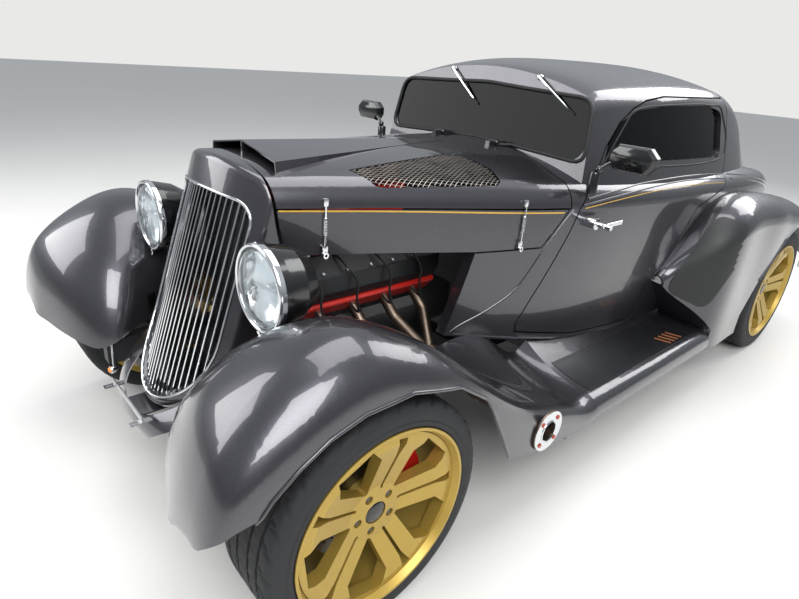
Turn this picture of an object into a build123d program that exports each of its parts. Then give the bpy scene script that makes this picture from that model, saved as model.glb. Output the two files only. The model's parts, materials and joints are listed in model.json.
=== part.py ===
from build123d import *
from collections import namedtuple
from math import acos, atan2, cos, degrees, hypot, pi, radians, sin, sqrt, tan
import os

# Hot rod, three-window coupe on a boxed frame. Millimetres, +X to the nose, +Y to its left, +Z up.
# The origin is on the ground under the middle of the car's length.

# Wheels and track
FRONT_AXLE_X = 1570
WHEELBASE = 2845
REAR_AXLE_X = FRONT_AXLE_X - WHEELBASE
WHEEL_FACE_Y = 845
FRONT_TYRE_R = 339
REAR_TYRE_R = 348
FRONT_TYRE_WIDTH = 235
REAR_TYRE_WIDTH = 285
RIM_SEAT_R = 262
RIM_FLANGE_R = 269.5
RIM_BARREL_R = 246
TYRE_SHOULDER_R = 22
TYRE_SEAT_GAP = 0.3
SPINDLE_R = 20
RUNNING_CLEARANCE = 0.05
DISC_R = 165
DISC_THICK = 26
DISC_SETBACK = 132
HUB_SETBACK = 50
SPOKE_DEPTH = 30
WHEEL_SPOKES = 5
CAP_R = 33

# Sheet and wall thicknesses
SIDE_WALL = 45
ROOF_WALL = 30
TAIL_WALL = 25
SHEET = 5
FENDER_SHEET = 7
GLASS_THICK = 5
GLASS_SETBACK = 16
SHUT_GAP = 6
SEAT_GAP = 0.4

# Chassis
RAIL_OUTER_Y = 395
RAIL_WIDTH = 50
RAIL_TOP_Z = 364
RAIL_DEPTH = 100
RAIL_FRONT_TOP_Z = 420
RAIL_KICK_TOP_Z = 560
RAIL_FRONT_X = 1880
RAIL_REAR_X = -1720
FLOOR_THICK = 6
TRUNK_FLOOR_Z = RAIL_KICK_TOP_Z + FLOOR_THICK
KICK_LOW_X, KICK_HIGH_X = -790, -880

# Cowl, windscreen and doors
HOOD_FRONT_X = 1552
HOOD_HINGE_X, HOOD_HINGE_Z = 496, 1136
HOOD_SWEEP_R = HOOD_FRONT_X - HOOD_HINGE_X
HOOD_SEAM_SIDE_X = 541
HOOD_SEAM_MID_X = 496
HOOD_SIDE_LOW_Z = 830
COWL_TOE_X = 964
SCREEN_LOW_X = 448
SCREEN_LOW_Z = 1090
SCREEN_HIGH_X = 404
SCREEN_HIGH_Z = 1340
SCREEN_WALL = 26
DOOR_OPEN_DEG = 65
BODY_CUT_Y = 330
BODY_OUT_Y = 1000

# Lower body, nose to tail: offset is from the axle that the row names, sill is the lower edge,
# belt is the widest point of the side, shoulder_r rounds the belt into the crown, crown_z is mid height.
BodyRow = namedtuple("BodyRow", "axle_x offset sill_y sill_z belt_y belt_z shoulder_r crown_z")
BODY_ROWS = [
    BodyRow(FRONT_AXLE_X, 5, 240, 640, 262, 1010, 85, 1121),
    BodyRow(FRONT_AXLE_X, -270, 310, 590, 338, 1000, 88, 1128),
    BodyRow(FRONT_AXLE_X, -620, 420, 514, 452, 984, 92, 1133),
    BodyRow(FRONT_AXLE_X, -1030, 530, 430, 572, 966, 95, 1132),
    BodyRow(FRONT_AXLE_X, -1370, 572, 384, 622, 952, 95, 1126),
    BodyRow(FRONT_AXLE_X, -1870, 596, 360, 655, 936, 95, 1100),
    BodyRow(REAR_AXLE_X, 475, 596, 352, 662, 926, 95, 1062),
    BodyRow(REAR_AXLE_X, 0, 560, 360, 630, 900, 88, 1012),
    BodyRow(REAR_AXLE_X, -375, 470, 384, 545, 830, 76, 925),
    BodyRow(REAR_AXLE_X, -600, 385, 410, 455, 715, 72, 812),
    BodyRow(REAR_AXLE_X, -735, 300, 440, 352, 565, 62, 645),
]

# Roof, screen to tail: foot is hidden inside the lower body, eave is where the side turns into the roof.
RoofRow = namedtuple("RoofRow", "axle_x offset foot_y foot_z eave_y eave_z corner_r crown_z")
ROOF_ROWS = [
    RoofRow(FRONT_AXLE_X, -1085, 556, 900, 506, 1240, 60, 1345),
    RoofRow(FRONT_AXLE_X, -1180, 586, 900, 508, 1290, 75, 1412),
    RoofRow(FRONT_AXLE_X, -1290, 604, 900, 514, 1305, 85, 1440),
    RoofRow(FRONT_AXLE_X, -1650, 636, 900, 528, 1322, 90, 1457),
    RoofRow(REAR_AXLE_X, 700, 646, 900, 532, 1316, 95, 1452),
    RoofRow(REAR_AXLE_X, 400, 630, 890, 520, 1262, 110, 1402),
    RoofRow(REAR_AXLE_X, 120, 590, 880, 488, 1130, 125, 1262),
    RoofRow(REAR_AXLE_X, -110, 520, 860, 430, 990, 120, 1092),
    RoofRow(REAR_AXLE_X, -230, 450, 840, 380, 905, 80, 975),
]

# Fenders: inner edge, crest, and the outer side that falls from the crest's radius to the lip.
FenderRow = namedtuple("FenderRow", "axle_x offset in_y in_z crest_z out_y corner_r lip_z")
FRONT_FENDER_ROWS = [
    FenderRow(FRONT_AXLE_X, 460, 640, 462, 502, 790, 36, 440),
    FenderRow(FRONT_AXLE_X, 446, 585, 448, 582, 824, 68, 400),
    FenderRow(FRONT_AXLE_X, 412, 480, 424, 668, 850, 92, 330),
    FenderRow(FRONT_AXLE_X, 350, 350, 404, 742, 862, 115, 280),
    FenderRow(FRONT_AXLE_X, 240, 312, 450, 817, 868, 130, 260),
    FenderRow(FRONT_AXLE_X, 60, 396, 421, 862, 870, 135, 250),
    FenderRow(FRONT_AXLE_X, -110, 396, 421, 800, 870, 120, 246),
    FenderRow(FRONT_AXLE_X, -250, 396, 421, 704, 870, 100, 246),
    FenderRow(FRONT_AXLE_X, -350, 397, 418, 625, 870, 85, 246),
    FenderRow(FRONT_AXLE_X, -460, 402, 440, 540, 870, 72, 246),
    FenderRow(FRONT_AXLE_X, -640, 432, 500, 436, 868, 62, 256),
    FenderRow(FRONT_AXLE_X, -800, 474, 470, 375, 866, 60, 262),
    FenderRow(FRONT_AXLE_X, -980, 515, 436, 345, 864, 60, 264),
]
BOARD_ROWS = [
    FenderRow(FRONT_AXLE_X, -981, 515, 436, 345, 864, 60, 264),
    FenderRow(FRONT_AXLE_X, -1370, 570, 382, 342, 864, 58, 264),
    FenderRow(FRONT_AXLE_X, -1870, 592, 356, 341, 864, 56, 263),
    FenderRow(REAR_AXLE_X, 876, 594, 352, 340, 864, 55, 263),
]
REAR_FENDER_ROWS = [
    FenderRow(REAR_AXLE_X, 1100, 606, 585, 600, 672, 32, 246),
    FenderRow(REAR_AXLE_X, 990, 606, 700, 742, 775, 60, 246),
    FenderRow(REAR_AXLE_X, 875, 604, 810, 868, 856, 95, 246),
    FenderRow(REAR_AXLE_X, 740, 604, 880, 926, 868, 120, 246),
    FenderRow(REAR_AXLE_X, 420, 604, 892, 932, 870, 130, 246),
    FenderRow(REAR_AXLE_X, 220, 600, 870, 905, 870, 130, 246),
    FenderRow(REAR_AXLE_X, 0, 570, 825, 858, 870, 110, 246),
    FenderRow(REAR_AXLE_X, -230, 520, 745, 780, 866, 100, 246),
    FenderRow(REAR_AXLE_X, -400, 480, 640, 688, 856, 100, 246),
    FenderRow(REAR_AXLE_X, -520, 450, 530, 582, 836, 90, 246),
    FenderRow(REAR_AXLE_X, -610, 430, 450, 482, 800, 60, 246),
]
# Wheel openings in side view, (offset from the axle, z), from the front lip round to the rear
FRONT_ARCH = [(372, 430), (361, 566), (330, 608), (270, 658), (200, 700), (111, 725), (-28, 725), (-198, 676),
              (-309, 600), (-398, 444), (-453, 338), (-521, 320), (-662, 288), (-780, 272), (-800, 200), (372, 200)]
REAR_ARCH = [(545, 200), (540, 345), (430, 513), (200, 690), (60, 738), (-60, 740), (-220, 690),
             (-430, 520), (-560, 380), (-700, 360), (-700, 200)]
NOSE_EDGE = [(250, 390), (340, 404), (450, 424), (620, 450), (715, 468), (790, 502), (840, 545), (880, 605), (880, 100), (250, 100)]
TOE_EDGE = [(1200, 640), (1108, 566), (1075, 540), (875.7, 350), (875.7, 200), (1200, 200)]
REAR_ARCH_R = 402
ARCH_INNER_Y = 508

# Grille
GRILLE_TOP_X = 1619
GRILLE_TOP_Z = 1127
GRILLE_RAKE_DEG = 18.1
GRILLE_BOW = 70
GRILLE_HALF_W = 228
GRILLE_RIM = 34
GRILLE_DEPTH = 95
GRILLE_OPEN_TOP_Z = 1034
GRILLE_CORNER_Z, GRILLE_CORNER_R = 955, 68
SHELL_CORNER_Z, SHELL_CORNER_R = 1010, 88
SHELL_EDGE_R = 24
GRILLE_OPEN_LOW_Z = 392
GRILLE_RIM_LOW = 38
BAR_COUNT = 20
BAR_WIDTH = 7
BAR_DEPTH = 12

# Engine
ENGINE_FRONT_X = 1425
ENGINE_LENGTH = 560
COVER_Y = 250
COVER_TOP_Z = 815

# Lamps
LAMP_X = 1670
LAMP_Y = 394
LAMP_Z = 842
LAMP_R = 120
LAMP_DEPTH = 165

parts = {}


def at(x, y, z):
    return Vector(x, y, z)


def mirrored(shape):
    """The same piece on the other side of the car."""
    return shape.mirror(Plane.XZ)


def pair(shape):
    """A left piece and its mirror image as two solids of one node."""
    return Compound(children=list(shape.solids()) + list(mirrored(shape).solids()))


def keep(name, *shapes):
    """Stores one node made of the solids of all the shapes."""
    solids = [solid for shape in shapes for solid in shape.solids()]
    parts[name] = solids[0] if len(solids) == 1 else Compound(children=solids)


def box(x0, x1, y0, y1, z0, z1):
    """A box between opposite corners."""
    size = (x1 - x0, y1 - y0, z1 - z0)
    return Pos((x0 + x1) / 2, (y0 + y1) / 2, (z0 + z1) / 2) * Box(*size)


def rod(x, y, z, radius, length, axis="Y"):
    """A round bar centred on a point, along one axis."""
    turn = {"X": Rot(0, 90, 0), "Y": Rot(90, 0, 0), "Z": Rot(0, 0, 0)}[axis]
    return Pos(x, y, z) * turn * Cylinder(radius, length)


def side_prism(points, y0, y1):
    """A polygon drawn in side view, (x, z), run across the car from y0 to y1."""
    wire = Wire.make_polygon([at(x, y0, z) for x, z in points], close=True)
    return extrude(Face(wire), amount=y1 - y0, dir=(0, 1, 0))


def crown_touch(y, z, radius, top_z):
    """Where a corner circle centred on (y, z) runs on into the crown arc over the middle."""
    reach = top_z - radius
    centre_z = (reach**2 - z**2 - y**2) / (2 * (reach - z))
    away = hypot(y, z - centre_z)
    return y + radius * y / away, z + radius * (z - centre_z) / away


def body_wire(row, inset, roof_inset, drop):
    """One section of the lower body, moved in by the wall's thickness."""
    x = row.axle_x + row.offset
    sill_y, belt_y = row.sill_y - inset, row.belt_y - inset
    sill_z, top_z = row.sill_z - drop, row.crown_z - roof_inset
    radius = row.shoulder_r - min(inset, roof_inset)
    belt_z = row.belt_z
    ty, tz = crown_touch(belt_y - radius, belt_z, radius, top_z)
    right = [
        Edge.make_tangent_arc(at(x, belt_y, belt_z), at(0, 0, -1), at(x, sill_y, sill_z)),
        Edge.make_tangent_arc(at(x, belt_y, belt_z), at(0, 0, 1), at(x, ty, tz)),
    ]
    left = [
        Edge.make_tangent_arc(at(x, -belt_y, belt_z), at(0, 0, -1), at(x, -sill_y, sill_z)),
        Edge.make_tangent_arc(at(x, -belt_y, belt_z), at(0, 0, 1), at(x, -ty, tz)),
    ]
    bottom = Edge.make_line(at(x, -sill_y, sill_z), at(x, sill_y, sill_z))
    crown = Edge.make_three_point_arc(at(x, -ty, tz), at(x, 0, top_z), at(x, ty, tz))
    return Wire([bottom, right[0], right[1], crown, left[1], left[0]])


def lower_body(inset=0, roof_inset=0, drop=0):
    """The body's outer form from the nose to the tail, or the space inside its walls."""
    return Solid.make_loft([body_wire(row, inset, roof_inset, drop) for row in BODY_ROWS])


def roof_wire(row, inset, roof_inset):
    """One section of the roof and side windows."""
    x = row.axle_x + row.offset
    foot_y, eave_y = row.foot_y - inset, row.eave_y - inset
    eave_z, top_z = row.eave_z, row.crown_z - roof_inset
    radius = row.corner_r - roof_inset
    run = hypot(foot_y - eave_y, eave_z - row.foot_z)
    lean, rise = (eave_y - foot_y) / run, (eave_z - row.foot_z) / run
    cy, cz = eave_y - radius * rise, eave_z + radius * lean
    ty, tz = crown_touch(cy, cz, radius, top_z)
    edges = [Edge.make_line(at(x, -foot_y, row.foot_z), at(x, foot_y, row.foot_z))]
    edges.append(Edge.make_line(at(x, foot_y, row.foot_z), at(x, eave_y, eave_z)))
    edges.append(Edge.make_tangent_arc(at(x, eave_y, eave_z), at(0, lean, rise), at(x, ty, tz)))
    edges.append(Edge.make_three_point_arc(at(x, ty, tz), at(x, 0, top_z), at(x, -ty, tz)))
    edges.append(Edge.make_tangent_arc(at(x, -eave_y, eave_z), at(0, -lean, rise), at(x, -ty, tz)))
    edges.append(Edge.make_line(at(x, -eave_y, eave_z), at(x, -foot_y, row.foot_z)))
    return Wire(edges)


def roof_form(inset=0, roof_inset=0):
    """The roof and side windows as one closed form, or the space inside its walls."""
    return Solid.make_loft([roof_wire(row, inset, roof_inset) for row in ROOF_ROWS])


def fender_wire(row, inset=0):
    """Fender section as a closed thin sheet: inner edge, crest, outer corner, lip, and back inside."""
    x = row.axle_x + row.offset
    crest_y = row.out_y - row.corner_r
    dy, dz = crest_y - row.in_y, row.crest_z - row.in_z
    bend = (dy * dy + dz * dz) / (2 * dz)
    centre_z = row.crest_z - bend
    t = FENDER_SHEET
    scale = (bend - t) / bend
    inner_y = crest_y + (row.in_y - crest_y) * scale
    inner_z = centre_z + (row.in_z - centre_z) * scale
    corner_z = row.crest_z - row.corner_r
    p_in, p_crest = at(x, row.in_y, row.in_z), at(x, crest_y, row.crest_z)
    p_side, p_lip = at(x, row.out_y, corner_z), at(x, row.out_y, row.lip_z)
    q_lip, q_side = at(x, row.out_y - t, row.lip_z), at(x, row.out_y - t, corner_z)
    q_crest, q_in = at(x, crest_y, row.crest_z - t), at(x, inner_y, inner_z)
    edges = [
        Edge.make_tangent_arc(p_crest, at(0, -1, 0), p_in),
        Edge.make_tangent_arc(p_crest, at(0, 1, 0), p_side),
        Edge.make_line(p_side, p_lip),
        Edge.make_line(p_lip, q_lip),
        Edge.make_line(q_lip, q_side),
        Edge.make_tangent_arc(q_crest, at(0, 1, 0), q_side),
        Edge.make_tangent_arc(q_crest, at(0, -1, 0), q_in),
        Edge.make_line(q_in, p_in),
    ]
    return Wire(edges)


def fender_sheet(rows):
    return Solid.make_loft([fender_wire(row) for row in rows])



# Whole forms that several pieces are cut from
outer_lower, outer_roof = lower_body(), roof_form()
TAIL_X = REAR_AXLE_X + BODY_ROWS[-1].offset
inner_lower = lower_body(SIDE_WALL, ROOF_WALL, 60) & box(TAIL_X + TAIL_WALL, 1700, -700, 700, 200, 1300)
inner_roof = roof_form(SIDE_WALL, ROOF_WALL)


def screen_cutter(setback):
    """All that lies ahead of the screen's raked plane, above the cowl."""
    slope = (SCREEN_HIGH_X - SCREEN_LOW_X) / (SCREEN_HIGH_Z - SCREEN_LOW_Z)
    low_z, high_z = SCREEN_LOW_Z - 300, SCREEN_HIGH_Z + 200
    low_x = SCREEN_LOW_X + slope * (low_z - SCREEN_LOW_Z) - setback
    high_x = SCREEN_LOW_X + slope * (high_z - SCREEN_LOW_Z) - setback
    front = SCREEN_LOW_X + 400
    return side_prism([(low_x, low_z), (front, low_z), (front, high_z), (high_x, high_z)], -900, 900)


roof_outside = outer_roof - screen_cutter(0)
roof_inside = inner_roof - screen_cutter(SCREEN_WALL)
body_outside = outer_lower + roof_outside
body_inside = inner_lower + roof_inside
body_skin = body_outside - body_inside


def hood_seam_prism(gap, low_z):
    """Ahead of the curved seam between hood and cowl, seen from above."""
    side, mid = HOOD_SEAM_SIDE_X + gap, HOOD_SEAM_MID_X + gap
    half = 600
    arc = Edge.make_three_point_arc(at(side, -half, low_z), at(mid, 0, low_z), at(side, half, low_z))
    rest = Wire.make_polygon(
        [at(side, half, low_z), at(1700, half, low_z), at(1700, -half, low_z), at(side, -half, low_z)],
        close=False,
    )
    return extrude(Face(Wire([arc] + list(rest.edges()))), amount=400, dir=(0, 0, 1))


BELT_SPLIT_Z = 968
COWL_LINE = [(541, 968), (577, 918), (640, HOOD_SIDE_LOW_Z)]
nose_cut = side_prism(
    COWL_LINE + [(905, HOOD_SIDE_LOW_Z), (COWL_TOE_X, 516), (COWL_TOE_X, 200), (1800, 200), (1800, 1300), (541, 1300)],
    -900, 900,
)
top_cut = hood_seam_prism(0, BELT_SPLIT_Z)

DOOR_LINE = [
    (441, 1036), (496, 970), (528, 879), (582, 755), (637, 629), (676, 530), (668, 487), (346, 415),
    (-17, 386), (-96, 384), (-132, 556), (-372, 892), (-640, 962), (-706, 1036), (-742, 1160), (-748, 1290),
    (-700, 1350), (-80, 1350), (66, 1334), (160, 1304), (250, 1254), (334, 1170), (380, 1090),
]


def inward(points, distance):
    """A closed side-view outline moved in by a distance."""
    face = Face(Wire.make_polygon([at(x, 0, z) for x, z in points], close=True))
    return offset(face, amount=-distance, kind=Kind.INTERSECTION)


door_face = inward(DOOR_LINE, 0)
door_gap_face = inward(DOOR_LINE, SHUT_GAP)
door_hole = extrude(door_face.moved(Pos(0, BODY_CUT_Y, 0)), amount=BODY_OUT_Y - BODY_CUT_Y, dir=(0, 1, 0))
door_slab = extrude(door_gap_face.moved(Pos(0, BODY_CUT_Y, 0)), amount=BODY_OUT_Y - BODY_CUT_Y, dir=(0, 1, 0))

WINDOW = [(-640, 1090), (-664, 1285), (-500, 1315), (-86, 1312), (125, 1296), (252, 1250), (318, 1180), (342, 1112)]
WINDOW_R = 42


def window_prism(grow):
    face = Face(Wire.make_polygon([at(x, BODY_CUT_Y, z) for x, z in WINDOW], close=True))
    face = face.fillet_2d(WINDOW_R, face.vertices()[:2])
    if grow:
        face = offset(face, amount=grow)
    return extrude(face, amount=BODY_OUT_Y - BODY_CUT_Y, dir=(0, 1, 0))


def across_prism(points, radius, x0, x1, grow=0):
    """An outline seen from the front, (y, z), run along the car from x0 to x1."""
    face = Face(Wire.make_polygon([at(x0, y, z) for y, z in points], close=True))
    face = face.fillet_2d(radius, face.vertices())
    if grow:
        face = offset(face, amount=grow)
    return extrude(face, amount=x1 - x0, dir=(1, 0, 0))


SCREEN = [(-524, 1112), (0, 1140), (524, 1112), (494, 1330), (0, 1345), (-494, 1330)]
REAR_WINDOW = [(-330, 1150), (330, 1150), (300, 1290), (-300, 1290)]
screen_hole = across_prism(SCREEN, 55, 300, 700)
rear_window_hole = across_prism(REAR_WINDOW, 45, -1500, -900)

LID_FRONT_X, LID_REAR_X, LID_FRONT_Y, LID_REAR_Y = -1520, -1880, 330, 250
LID_LIFT, LID_PLANE_Z = (-0.36, 0, 0.933), 950
LID_LINE = [(LID_FRONT_X, LID_FRONT_Y), (LID_REAR_X, LID_REAR_Y), (LID_REAR_X, -LID_REAR_Y), (LID_FRONT_X, -LID_FRONT_Y)]


def lid_prism(shrink):
    """The lid's outline, run along the way that its rear edge lifts."""
    face = Face(Wire.make_polygon([at(x, y, LID_PLANE_Z) for x, y in LID_LINE], close=True))
    face = face.fillet_2d(60, face.vertices())
    if shrink:
        face = offset(face, amount=-shrink)
    lift = Vector(*LID_LIFT)
    return extrude(face.moved(Location(lift * -200)), amount=440, dir=lift)


def wheel_arch(x, radius, y0, y1):
    return rod(x, (y0 + y1) / 2, REAR_TYRE_R, radius, y1 - y0)


arch_cut = wheel_arch(REAR_AXLE_X, REAR_ARCH_R, ARCH_INNER_Y, 1000)

shell = body_skin - nose_cut - top_cut
shell = shell - door_hole - mirrored(door_hole)
shell = shell - screen_hole - rear_window_hole - lid_prism(0)
shell = shell - arch_cut - mirrored(arch_cut)

door = (body_skin & door_slab) - window_prism(0)
keep("door_left", door)
keep("door_right", mirrored(door))
lid = body_skin & lid_prism(SHUT_GAP)
hood_hinges = []

# Barrel hinges: a pin on the body between two ears, and a knuckle on the moving panel
HINGE_PIN_R, HINGE_R, HINGE_LONG, HINGE_REACH = 4, 8, 20, 42


def hinge_halves(x, z, y, forward):
    """Body half and panel half of a hinge across the car; forward is +1 where the panel lies ahead of it."""
    def strap(y0, y1, ahead):
        ends = (x, x + ahead * HINGE_REACH)
        return box(min(ends), max(ends), y0, y1, z - 34, z + HINGE_R - 3)

    knuckle_half = rod(x, y, z, HINGE_R, HINGE_LONG) + strap(y - HINGE_LONG / 2, y + HINGE_LONG / 2, forward)
    knuckle_half = knuckle_half - rod(x, y, z, HINGE_PIN_R + RUNNING_CLEARANCE, HINGE_LONG + 2) - outer_lower
    fixed_half = rod(x, y, z, HINGE_PIN_R, HINGE_LONG + 20)
    for s in (-1, 1):
        ear_y = y + s * (HINGE_LONG / 2 + 0.5 + 6)
        fixed_half += rod(x, ear_y, z, HINGE_R, 12) + strap(ear_y - 6, ear_y + 6, -forward)
    return fixed_half - outer_lower, knuckle_half


LID_HINGE_X, LID_HINGE_Z = -1518, 972
for hinge_y in (-190, 190):
    fixed, moving = hinge_halves(LID_HINGE_X, LID_HINGE_Z, hinge_y, -1)
    shell, lid = shell + fixed, lid + moving
for hinge_y in (-150, 150):
    fixed, moving = hinge_halves(HOOD_HINGE_X, HOOD_HINGE_Z, hinge_y, 1)
    shell = shell + fixed
    hood_hinges.append(moving)
keep("body_shell", shell)
keep("deck_lid", lid)

# Lever handles with a round foot
HANDLE_X, HANDLE_Z, HANDLE_OUT, HANDLE_LEVER = 463, 920, 46, 118
handle = rod(HANDLE_X, 640, HANDLE_Z, 10, 2 * (HANDLE_OUT + 10)) + rod(HANDLE_X, 610, HANDLE_Z, 21, 60)
handle += fillet(box(HANDLE_X - HANDLE_LEVER, HANDLE_X + 12, 664, 676, HANDLE_Z - 8, HANDLE_Z + 9).edges(), 4)
handle = handle - lower_body(-SEAT_GAP, -SEAT_GAP, 0)
handle = max(handle.solids(), key=lambda solid: solid.bounding_box().max.Y)
keep("door_handle_left", handle)
keep("door_handle_right", mirrored(handle))

# Glass follows the roof's side, a little inside it
glass_out = roof_form(GLASS_SETBACK, GLASS_SETBACK)
glass_in = roof_form(GLASS_SETBACK + GLASS_THICK, GLASS_SETBACK + GLASS_THICK)
glass = (glass_out & window_prism(-SEAT_GAP)) - glass_in
keep("door_glass_left", glass)
keep("door_glass_right", mirrored(glass))
screen_slab = (screen_cutter(10) - screen_cutter(10 - GLASS_THICK)) & across_prism(SCREEN, 55, 300, 700, -SEAT_GAP)
rear_glass = (glass_out & across_prism(REAR_WINDOW, 45, -1500, -900, -SEAT_GAP)) - glass_in
keep("screen_glass", screen_slab, rear_glass)

# Hood top and sides, cut from the same form
sheet_skin = outer_lower - lower_body(SHEET, SHEET, 60)
hood_top_region = hood_seam_prism(SHUT_GAP, BELT_SPLIT_Z) & box(400, HOOD_FRONT_X, -700, 700, BELT_SPLIT_Z, 1300)
HOOD_LINE_FRONT_Z, HOOD_LINE_REAR_Z = 1012, 972
above_belt = side_prism(
    [(480, HOOD_LINE_REAR_Z), (541, HOOD_LINE_REAR_Z), (HOOD_FRONT_X, HOOD_LINE_FRONT_Z), (HOOD_FRONT_X, 1300), (480, 1300)],
    -700, 700,
)
hood_sweep = rod(HOOD_HINGE_X, 0, HOOD_HINGE_Z, HOOD_SWEEP_R, 1400)
hood_sheet = sheet_skin & hood_top_region & above_belt & hood_sweep
side_region = side_prism(
    [(541 + SHUT_GAP + 4, HOOD_LINE_REAR_Z - SHUT_GAP), (577 + SHUT_GAP, 918), (640 + SHUT_GAP, HOOD_SIDE_LOW_Z + SHUT_GAP),
     (905, HOOD_SIDE_LOW_Z + SHUT_GAP), (HOOD_FRONT_X, 872), (HOOD_FRONT_X, HOOD_LINE_FRONT_Z - SHUT_GAP)],
    100, 900,
)
hood_side = sheet_skin & side_region & hood_sweep
hood_side += box(560, 660, 528, 553, 880, 900) & nose_cut & outer_lower
keep("hood_sides", pair(hood_side))

# Scoop: a low wedge on the hood, open at its mouth and parted by a divider
SCOOP_FRONT_X, SCOOP_REAR_X, SCOOP_HALF_W, SCOOP_TAIL_W = 1508, 690, 215, 45
SCOOP_RISE, SCOOP_EDGE_RISE, SCOOP_WALL, SCOOP_DUCT = 48, 30, 4, 330


def scoop_wire(x, half, edge_z, mid_z, low_z):
    return Wire.make_polygon(
        [at(x, -half, low_z), at(x, -half * 0.93, edge_z), at(x, 0, mid_z), at(x, half * 0.93, edge_z), at(x, half, low_z)],
        close=True,
    )


front_hood_z, rear_hood_z = 1121, 1132
scoop_out = Solid.make_loft([
    scoop_wire(SCOOP_FRONT_X, SCOOP_HALF_W, front_hood_z + SCOOP_EDGE_RISE - 26, front_hood_z + SCOOP_RISE - 12, 1040),
    scoop_wire(SCOOP_REAR_X, SCOOP_TAIL_W, rear_hood_z + 2, rear_hood_z + 4, 1060),
], ruled=True)
scoop_in = Solid.make_loft([
    scoop_wire(SCOOP_FRONT_X + 1, SCOOP_HALF_W - SCOOP_WALL, front_hood_z + SCOOP_EDGE_RISE - 26 - SCOOP_WALL,
               front_hood_z + SCOOP_RISE - 12 - SCOOP_WALL, 1040),
    scoop_wire(SCOOP_REAR_X, SCOOP_TAIL_W - SCOOP_WALL, rear_hood_z - 2, rear_hood_z, 1060),
], ruled=True)
duct = scoop_in & box(SCOOP_FRONT_X - SCOOP_DUCT, SCOOP_FRONT_X + 2, -300, 300, 1000, 1300)
divider = scoop_in & box(SCOOP_FRONT_X - SCOOP_DUCT - 1, SCOOP_FRONT_X, -SCOOP_WALL, SCOOP_WALL, 1000, 1300)
scoop = (scoop_out - duct + divider) - lower_body(1, 1, 60)

VENT = [(1282, 241), (846, 219), (776, 262), (766, 372), (808, 464), (1244, 332)]


def vent_prism(shrink):
    face = Face(Wire.make_polygon([at(x, y, 1000) for x, y in VENT], close=True))
    face = face.fillet_2d(38, face.vertices()[2:])
    if shrink:
        face = offset(face, amount=-shrink)
    return extrude(face, amount=200, dir=(0, 0, 1))


vents = vent_prism(0) + mirrored(vent_prism(0))
hood = hood_sheet + scoop - vents
for half in hood_hinges:
    hood = hood + half
keep("hood", hood)
mesh = (lower_body(1, 1, 60) & vent_prism(SEAT_GAP)) - lower_body(4, 4, 60)
keep("hood_mesh", pair(mesh))

# Floor, tunnel side and firewall in one folded sheet, fitted inside the walls
floor_room = lower_body(SIDE_WALL + SEAT_GAP, ROOF_WALL + SEAT_GAP, 60)
fw, t = 556, FLOOR_THICK
low_x, high_x = KICK_LOW_X + 4, KICK_HIGH_X + 4
floor_profile = [
    (fw, RAIL_TOP_Z), (fw + 60, 600), (fw - 8, 940), (fw - 8 - t, 940), (fw + 60 - t, 600), (fw - t, RAIL_TOP_Z + t),
    (low_x + t, RAIL_TOP_Z + t), (high_x + t, TRUNK_FLOOR_Z), (-1900, TRUNK_FLOOR_Z), (-1900, RAIL_KICK_TOP_Z),
    (high_x, RAIL_KICK_TOP_Z), (low_x, RAIL_TOP_Z),
]
tub_room = wheel_arch(REAR_AXLE_X, REAR_ARCH_R + 4, ARCH_INNER_Y - 4, 1000)
floor = (side_prism(floor_profile, -800, 800) & floor_room) - tub_room - mirrored(tub_room)
keep("floor_pan", floor)
tub = wheel_arch(REAR_AXLE_X, REAR_ARCH_R + 3.6, ARCH_INNER_Y - 3.6, 640) - wheel_arch(REAR_AXLE_X, REAR_ARCH_R + 0.6, ARCH_INNER_Y - 0.6, 700)
tub = (tub & floor_room) - box(-2000, -500, 0, 700, 0, REAR_TYRE_R + 60)
keep("wheel_tubs", pair(tub))

# Fenders and boards, fitted to the body's side
def largest(shape):
    return max(shape.solids(), key=lambda solid: solid.volume)


def about(axle_x, outline, y0, y1):
    """A side-view outline given as offsets from an axle, run across the car."""
    return side_prism([(axle_x + dx, z) for dx, z in outline], y0, y1)


nose_cutter = across_prism(NOSE_EDGE, 8, FRONT_AXLE_X + 285, FRONT_AXLE_X + 600)
front_fender = fender_sheet(FRONT_FENDER_ROWS) - about(FRONT_AXLE_X, FRONT_ARCH, 600, 1000) - nose_cutter
front_fender = front_fender - box(FRONT_AXLE_X - 150, FRONT_AXLE_X + 150, 300, 500, 400, 560) - outer_lower
rear_fender = fender_sheet(REAR_FENDER_ROWS) - about(REAR_AXLE_X, REAR_ARCH, 500, 1000)
rear_fender = rear_fender - about(REAR_AXLE_X, TOE_EDGE, 500, 1000) - outer_lower
board = fender_sheet(BOARD_ROWS) - outer_lower


EXHAUST_X, EXHAUST_Z, EXHAUST_BORE_R, EXHAUST_FLANGE_R = 931, 366, 33, 72
OUTLET_PIPE_R = 37
outlet_hole = rod(EXHAUST_X, 860, EXHAUST_Z, OUTLET_PIPE_R + SEAT_GAP, 120)
front_fender = largest(front_fender) - outlet_hole
keep("front_fenders", pair(front_fender))
keep("rear_fenders", pair(largest(rear_fender)))
keep("running_boards", pair(largest(board)))

# Wheels


def tyre(x, z, radius, width):
    """A tyre with rounded shoulders, turned about the axle; face at the outer side."""
    r0, w = RIM_SEAT_R + TYRE_SEAT_GAP, width / 2
    s = TYRE_SHOULDER_R
    profile = Polyline((r0, -w + 17), (RIM_FLANGE_R + 0.5, -w + 4.5), (RIM_FLANGE_R + 6, -w + 2), (radius - s, -w),
                       (radius, -w + s), (radius, w - s), (radius - s, w), (RIM_FLANGE_R + 6, w - 2),
                       (RIM_FLANGE_R + 0.5, w - 4.5), (r0, w - 17), close=True)
    return turned(make_face(profile), x, WHEEL_FACE_Y - w, z)


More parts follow.
